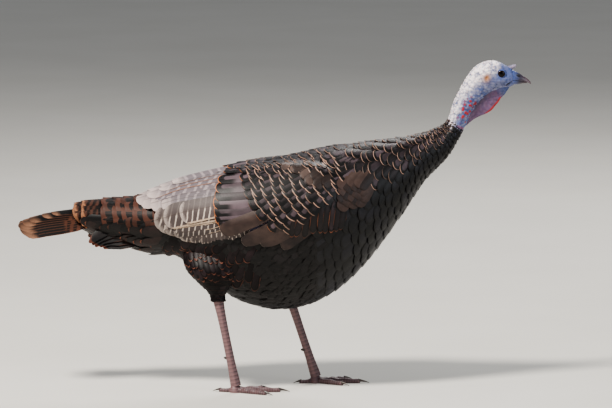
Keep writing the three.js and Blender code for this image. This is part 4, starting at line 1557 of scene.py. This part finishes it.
# %% Tertials and secondaries
TERTIALS = np.array([  # root station and angle, tip station and angle, half width, depth below the top
    (8.6, 14, 5.75, 13, 24, 0),
    (8.6, 20, 5.3, 17, 26, 0.7),
    (8.6, 25, 4.9, 21, 27, 1.4),
    (8.6, 30, 4.5, 25, 27, 2.1),
    (8.5, 36, 4.71, 37, 26, 2.8),
    (8.5, 42, 5.05, 47, 26, 3.4),
    (8.5, 47, 5.45, 55, 25, 4.0),
]).T
SECONDARIES = np.array([
    (8.4, 55, 6.0, 75, 22, 0.6),
    (8.4, 59, 5.5, 79, 24, 1.4),
    (8.4, 62, 5.14, 80, 26, 2.2),
    (8.3, 66, 5.3, 88, 24, 3.0),
    (8.3, 70, 5.56, 95, 20, 3.8),
    (8.2, 74, 5.8, 101, 16, 4.6),
    (8.2, 78, 6.05, 107, 14, 5.2),
    (8.2, 81, 6.45, 108, 13, 5.8),
    (8.2, 84, 6.8, 106, 12, 6.2),
]).T
tertial_look = barred("tertial", ("544c50", "766d71"), "8b8082", "8a5f44", "b0a29e", 11, dark_share=0.2,
                      slant=0.03, edge_at=0.94, tip_at=0.93, tip_soft=0.09, mottle=0.7, crisp=0.1)
secondary_look = barred("secondary", ("3a3130", "5c5250"), "b5a89e", "b09a86", "968a84", 13,
                        dark_share=0.12, slant=0.05, edge_at=0.88, tip_at=0.97, mottle=0.12, crisp=0.07,
                        inner=0.08)
QUILLS = [("tertials", TERTIALS, tertial_look), ("secondaries", SECONDARIES, secondary_look)]
for name, rows, look in QUILLS:
    quills = Tract(plumed, LONG, shoulder=0.86, blunt=2.2, thick=0.5)
    depth = rows[5]
    both(quills, rows[:2], rows[2:4], half=rows[4], low=-4 - depth, high=2.6 - depth * 0.7, tilt=0.4,
         camber=0.7)
    quills.build(name, look, islands=True)

# %% [markdown]
# ## The closed tail
# Eighteen stiff feathers make the tail. Closed, they lie in two stacks that slope down to each side,
# with the middle pair on top. A surface of its own describes that: a sloping roof, rounded across.
# The bands across the feathers line up only roughly, because each feather has its own length.

# %% The tail's surface
TAIL_ROOT, TAIL_LENGTH, TAIL_ROUND = -300, 175, 10
TAIL_RIDGE = [338, 336, 331, 324, 313]
TAIL_DROP = [20, 34, 37, 32, 25]
TAIL_HALF = [26, 38, 46, 48, 40]


def tail_fan(s, u, height):
    """The closed tail: x runs back, y is u times the half width, and z falls by the square of u. The
    end is rounded, because the outer feathers are shorter."""
    s, u, height = np.broadcast_arrays(s, u, height)
    x = TAIL_ROOT - TAIL_LENGTH * s + TAIL_ROUND * u**2 * softly(s, 0, 1)
    z = even(TAIL_RIDGE, s) - even(TAIL_DROP, s) * u**2 + height
    return np.stack([x, u * even(TAIL_HALF, s), z], -1)


# %% Rectrices, the tail's quills
TAIL_ENDS = np.array([0.63, 0.73, 0.87, 0.94, 0.975, 0.99, 0.96, 0.98, 0.95])
rectrices = Tract(tail_fan, LONG, shoulder=0.88, blunt=2.4, thick=0.5)
order = np.arange(len(TAIL_ENDS))
for side in (RIGHT, LEFT):
    place = side * (0.05 + order * 0.115)
    root = np.full(len(order), -0.1), place * 0.6
    low, high = -1.0 - order * 0.5, -order * 0.55
    rectrices.add(root, (TAIL_ENDS, place * 0.82), 17, low, high, tilt=0.5, camber=0.6, web=side)
tail_look = barred("rectrix", ("3a2119", "553225"), "140b09", "4b2e21", "7a5946", 14, dark_share=0.45,
                   slant=0.03, band_at=(0.56, 0.99), tip_at=0.93, tip_soft=0.04, edge_at=0.93, mottle=1.3,
                   rough=0.62, gloss=0.12, streak=0.8)
rectrices.build("rectrices", tail_look, islands=True)

# %% Feathers round the tail's root
root_coverts = Tract(tail_fan, shoulder=0.8, blunt=2.4)
under_coverts = Tract(tail_fan, shoulder=0.6, blunt=2.0)
for layer in range(5):
    u = np.linspace(-0.85, 0.85, 7)
    end = 0.38 - 0.03 * layer - 0.1 * u**2 + rng.normal(0, 0.02, 7)
    root_coverts.add((-0.55, u * 0.8), (end, u), 16, 1, 1 + layer * (0.8 + 4 * u**2), curl=2)
    u = np.linspace(-1.35, 1.35, 6)
    end = 0.26 - 0.05 * layer + rng.normal(0, 0.03, 6)
    under_coverts.add((-0.55, u * 0.8), (end, u), 17, 3 - 5 * layer, 4 - 8 * layer)
root_coverts.build("tail_coverts_inner", long_covert_look)
under_coverts.build("tail_coverts_under", undertail_look)

# %% [markdown]
# ## Bristles
# The head is not quite bare. Short black bristles, which are feathers with almost no vane, stand
# thinly on the neck and crown, and more closely where the neck's feathers end. They leave a clear
# space round the eye.

# %% Bristles
BRISTLES = 190
EYE_CLEAR = 17
bristles = Tract(body, shoulder=0.2, blunt=1.2, thick=0.25)
t = AT["feather line"] + 6.8 * rng.random(BRISTLES) ** 2.2
a = rng.uniform(-150, 150, BRISTLES)
place = body(t, a, 0)
clear = np.hypot(place[:, 0] - EYE[0], place[:, 2] - EYE[1]) > EYE_CLEAR
t, a = t[clear], a[clear]
mm_t, _ = metric(body, t, a)
tip = t - rng.uniform(3, 5, t.shape) / mm_t, a + rng.normal(0, 4, t.shape)
bristles.add((t, a), tip, 0.32, -1.5, 2.2)
bristle_look = plumage("bristle", ("0d0b0c", "2a2020"), "0a0809", "2a2020")
bristles.build("bristles", bristle_look)

# %% [markdown]
# ## Floor and light
# A plain pale floor and three lamps: a strong one high on the camera's side, a little to the tail,
# as afternoon sun would come, a weak one in front of the bird, and one beyond it that lights the
# edge of its back. The edges of their shadows are soft, because the lamps are wide.

# %% Floor, lamps and room
from mathutils import Vector

FLOOR_HALF = 9000
BIRD_MIDDLE = Vector((0, 0, 0.35))
corners = [(x * FLOOR_HALF, y * FLOOR_HALF, 0) for x, y in ((-1, -1), (1, -1), (1, 1), (-1, 1))]
floor = obj("floor", to_mesh("floor", corners, [[0, 1, 2, 3]]))
floor_look = Look("pale_floor", Roughness=0.85)
floor_look.set(Base_Color=floor_look.mix(floor_look.noise(3, 2), shade("c9c6bf"), shade("d2cfc9")))
floor.data.materials.append(floor_look.material)


def lamp(name, place, size, power, colour):
    """A round lamp aimed at the middle of the bird."""
    data = bpy.data.lights.new(name, "AREA")
    data.shape, data.size, data.energy, data.color = "DISK", size, power, colour
    made = bpy.data.objects.new(name, data)
    bpy.context.scene.collection.objects.link(made)
    made.location = place
    made.rotation_euler = (BIRD_MIDDLE - Vector(place)).to_track_quat("-Z", "Y").to_euler()


lamp("key", (-1.6, -2.0, 3.6), 0.8, 300, (1, 0.95, 0.88))
lamp("fill", (3.2, -2.4, 1.8), 2.2, 45, (0.88, 0.94, 1))
lamp("rim", (1.0, 3.0, 3.0), 1.5, 90, (1, 0.98, 0.95))
world = bpy.data.worlds.new("room")
world.use_nodes = True
background = world.node_tree.nodes["Background"]
background.inputs["Color"].default_value = (0.88, 0.93, 1, 1)
background.inputs["Strength"].default_value = 0.27
bpy.context.scene.world = world
bpy.context.scene.view_settings.look = "AgX - Medium High Contrast"
print(len(bpy.data.lights), "lamps and a floor")
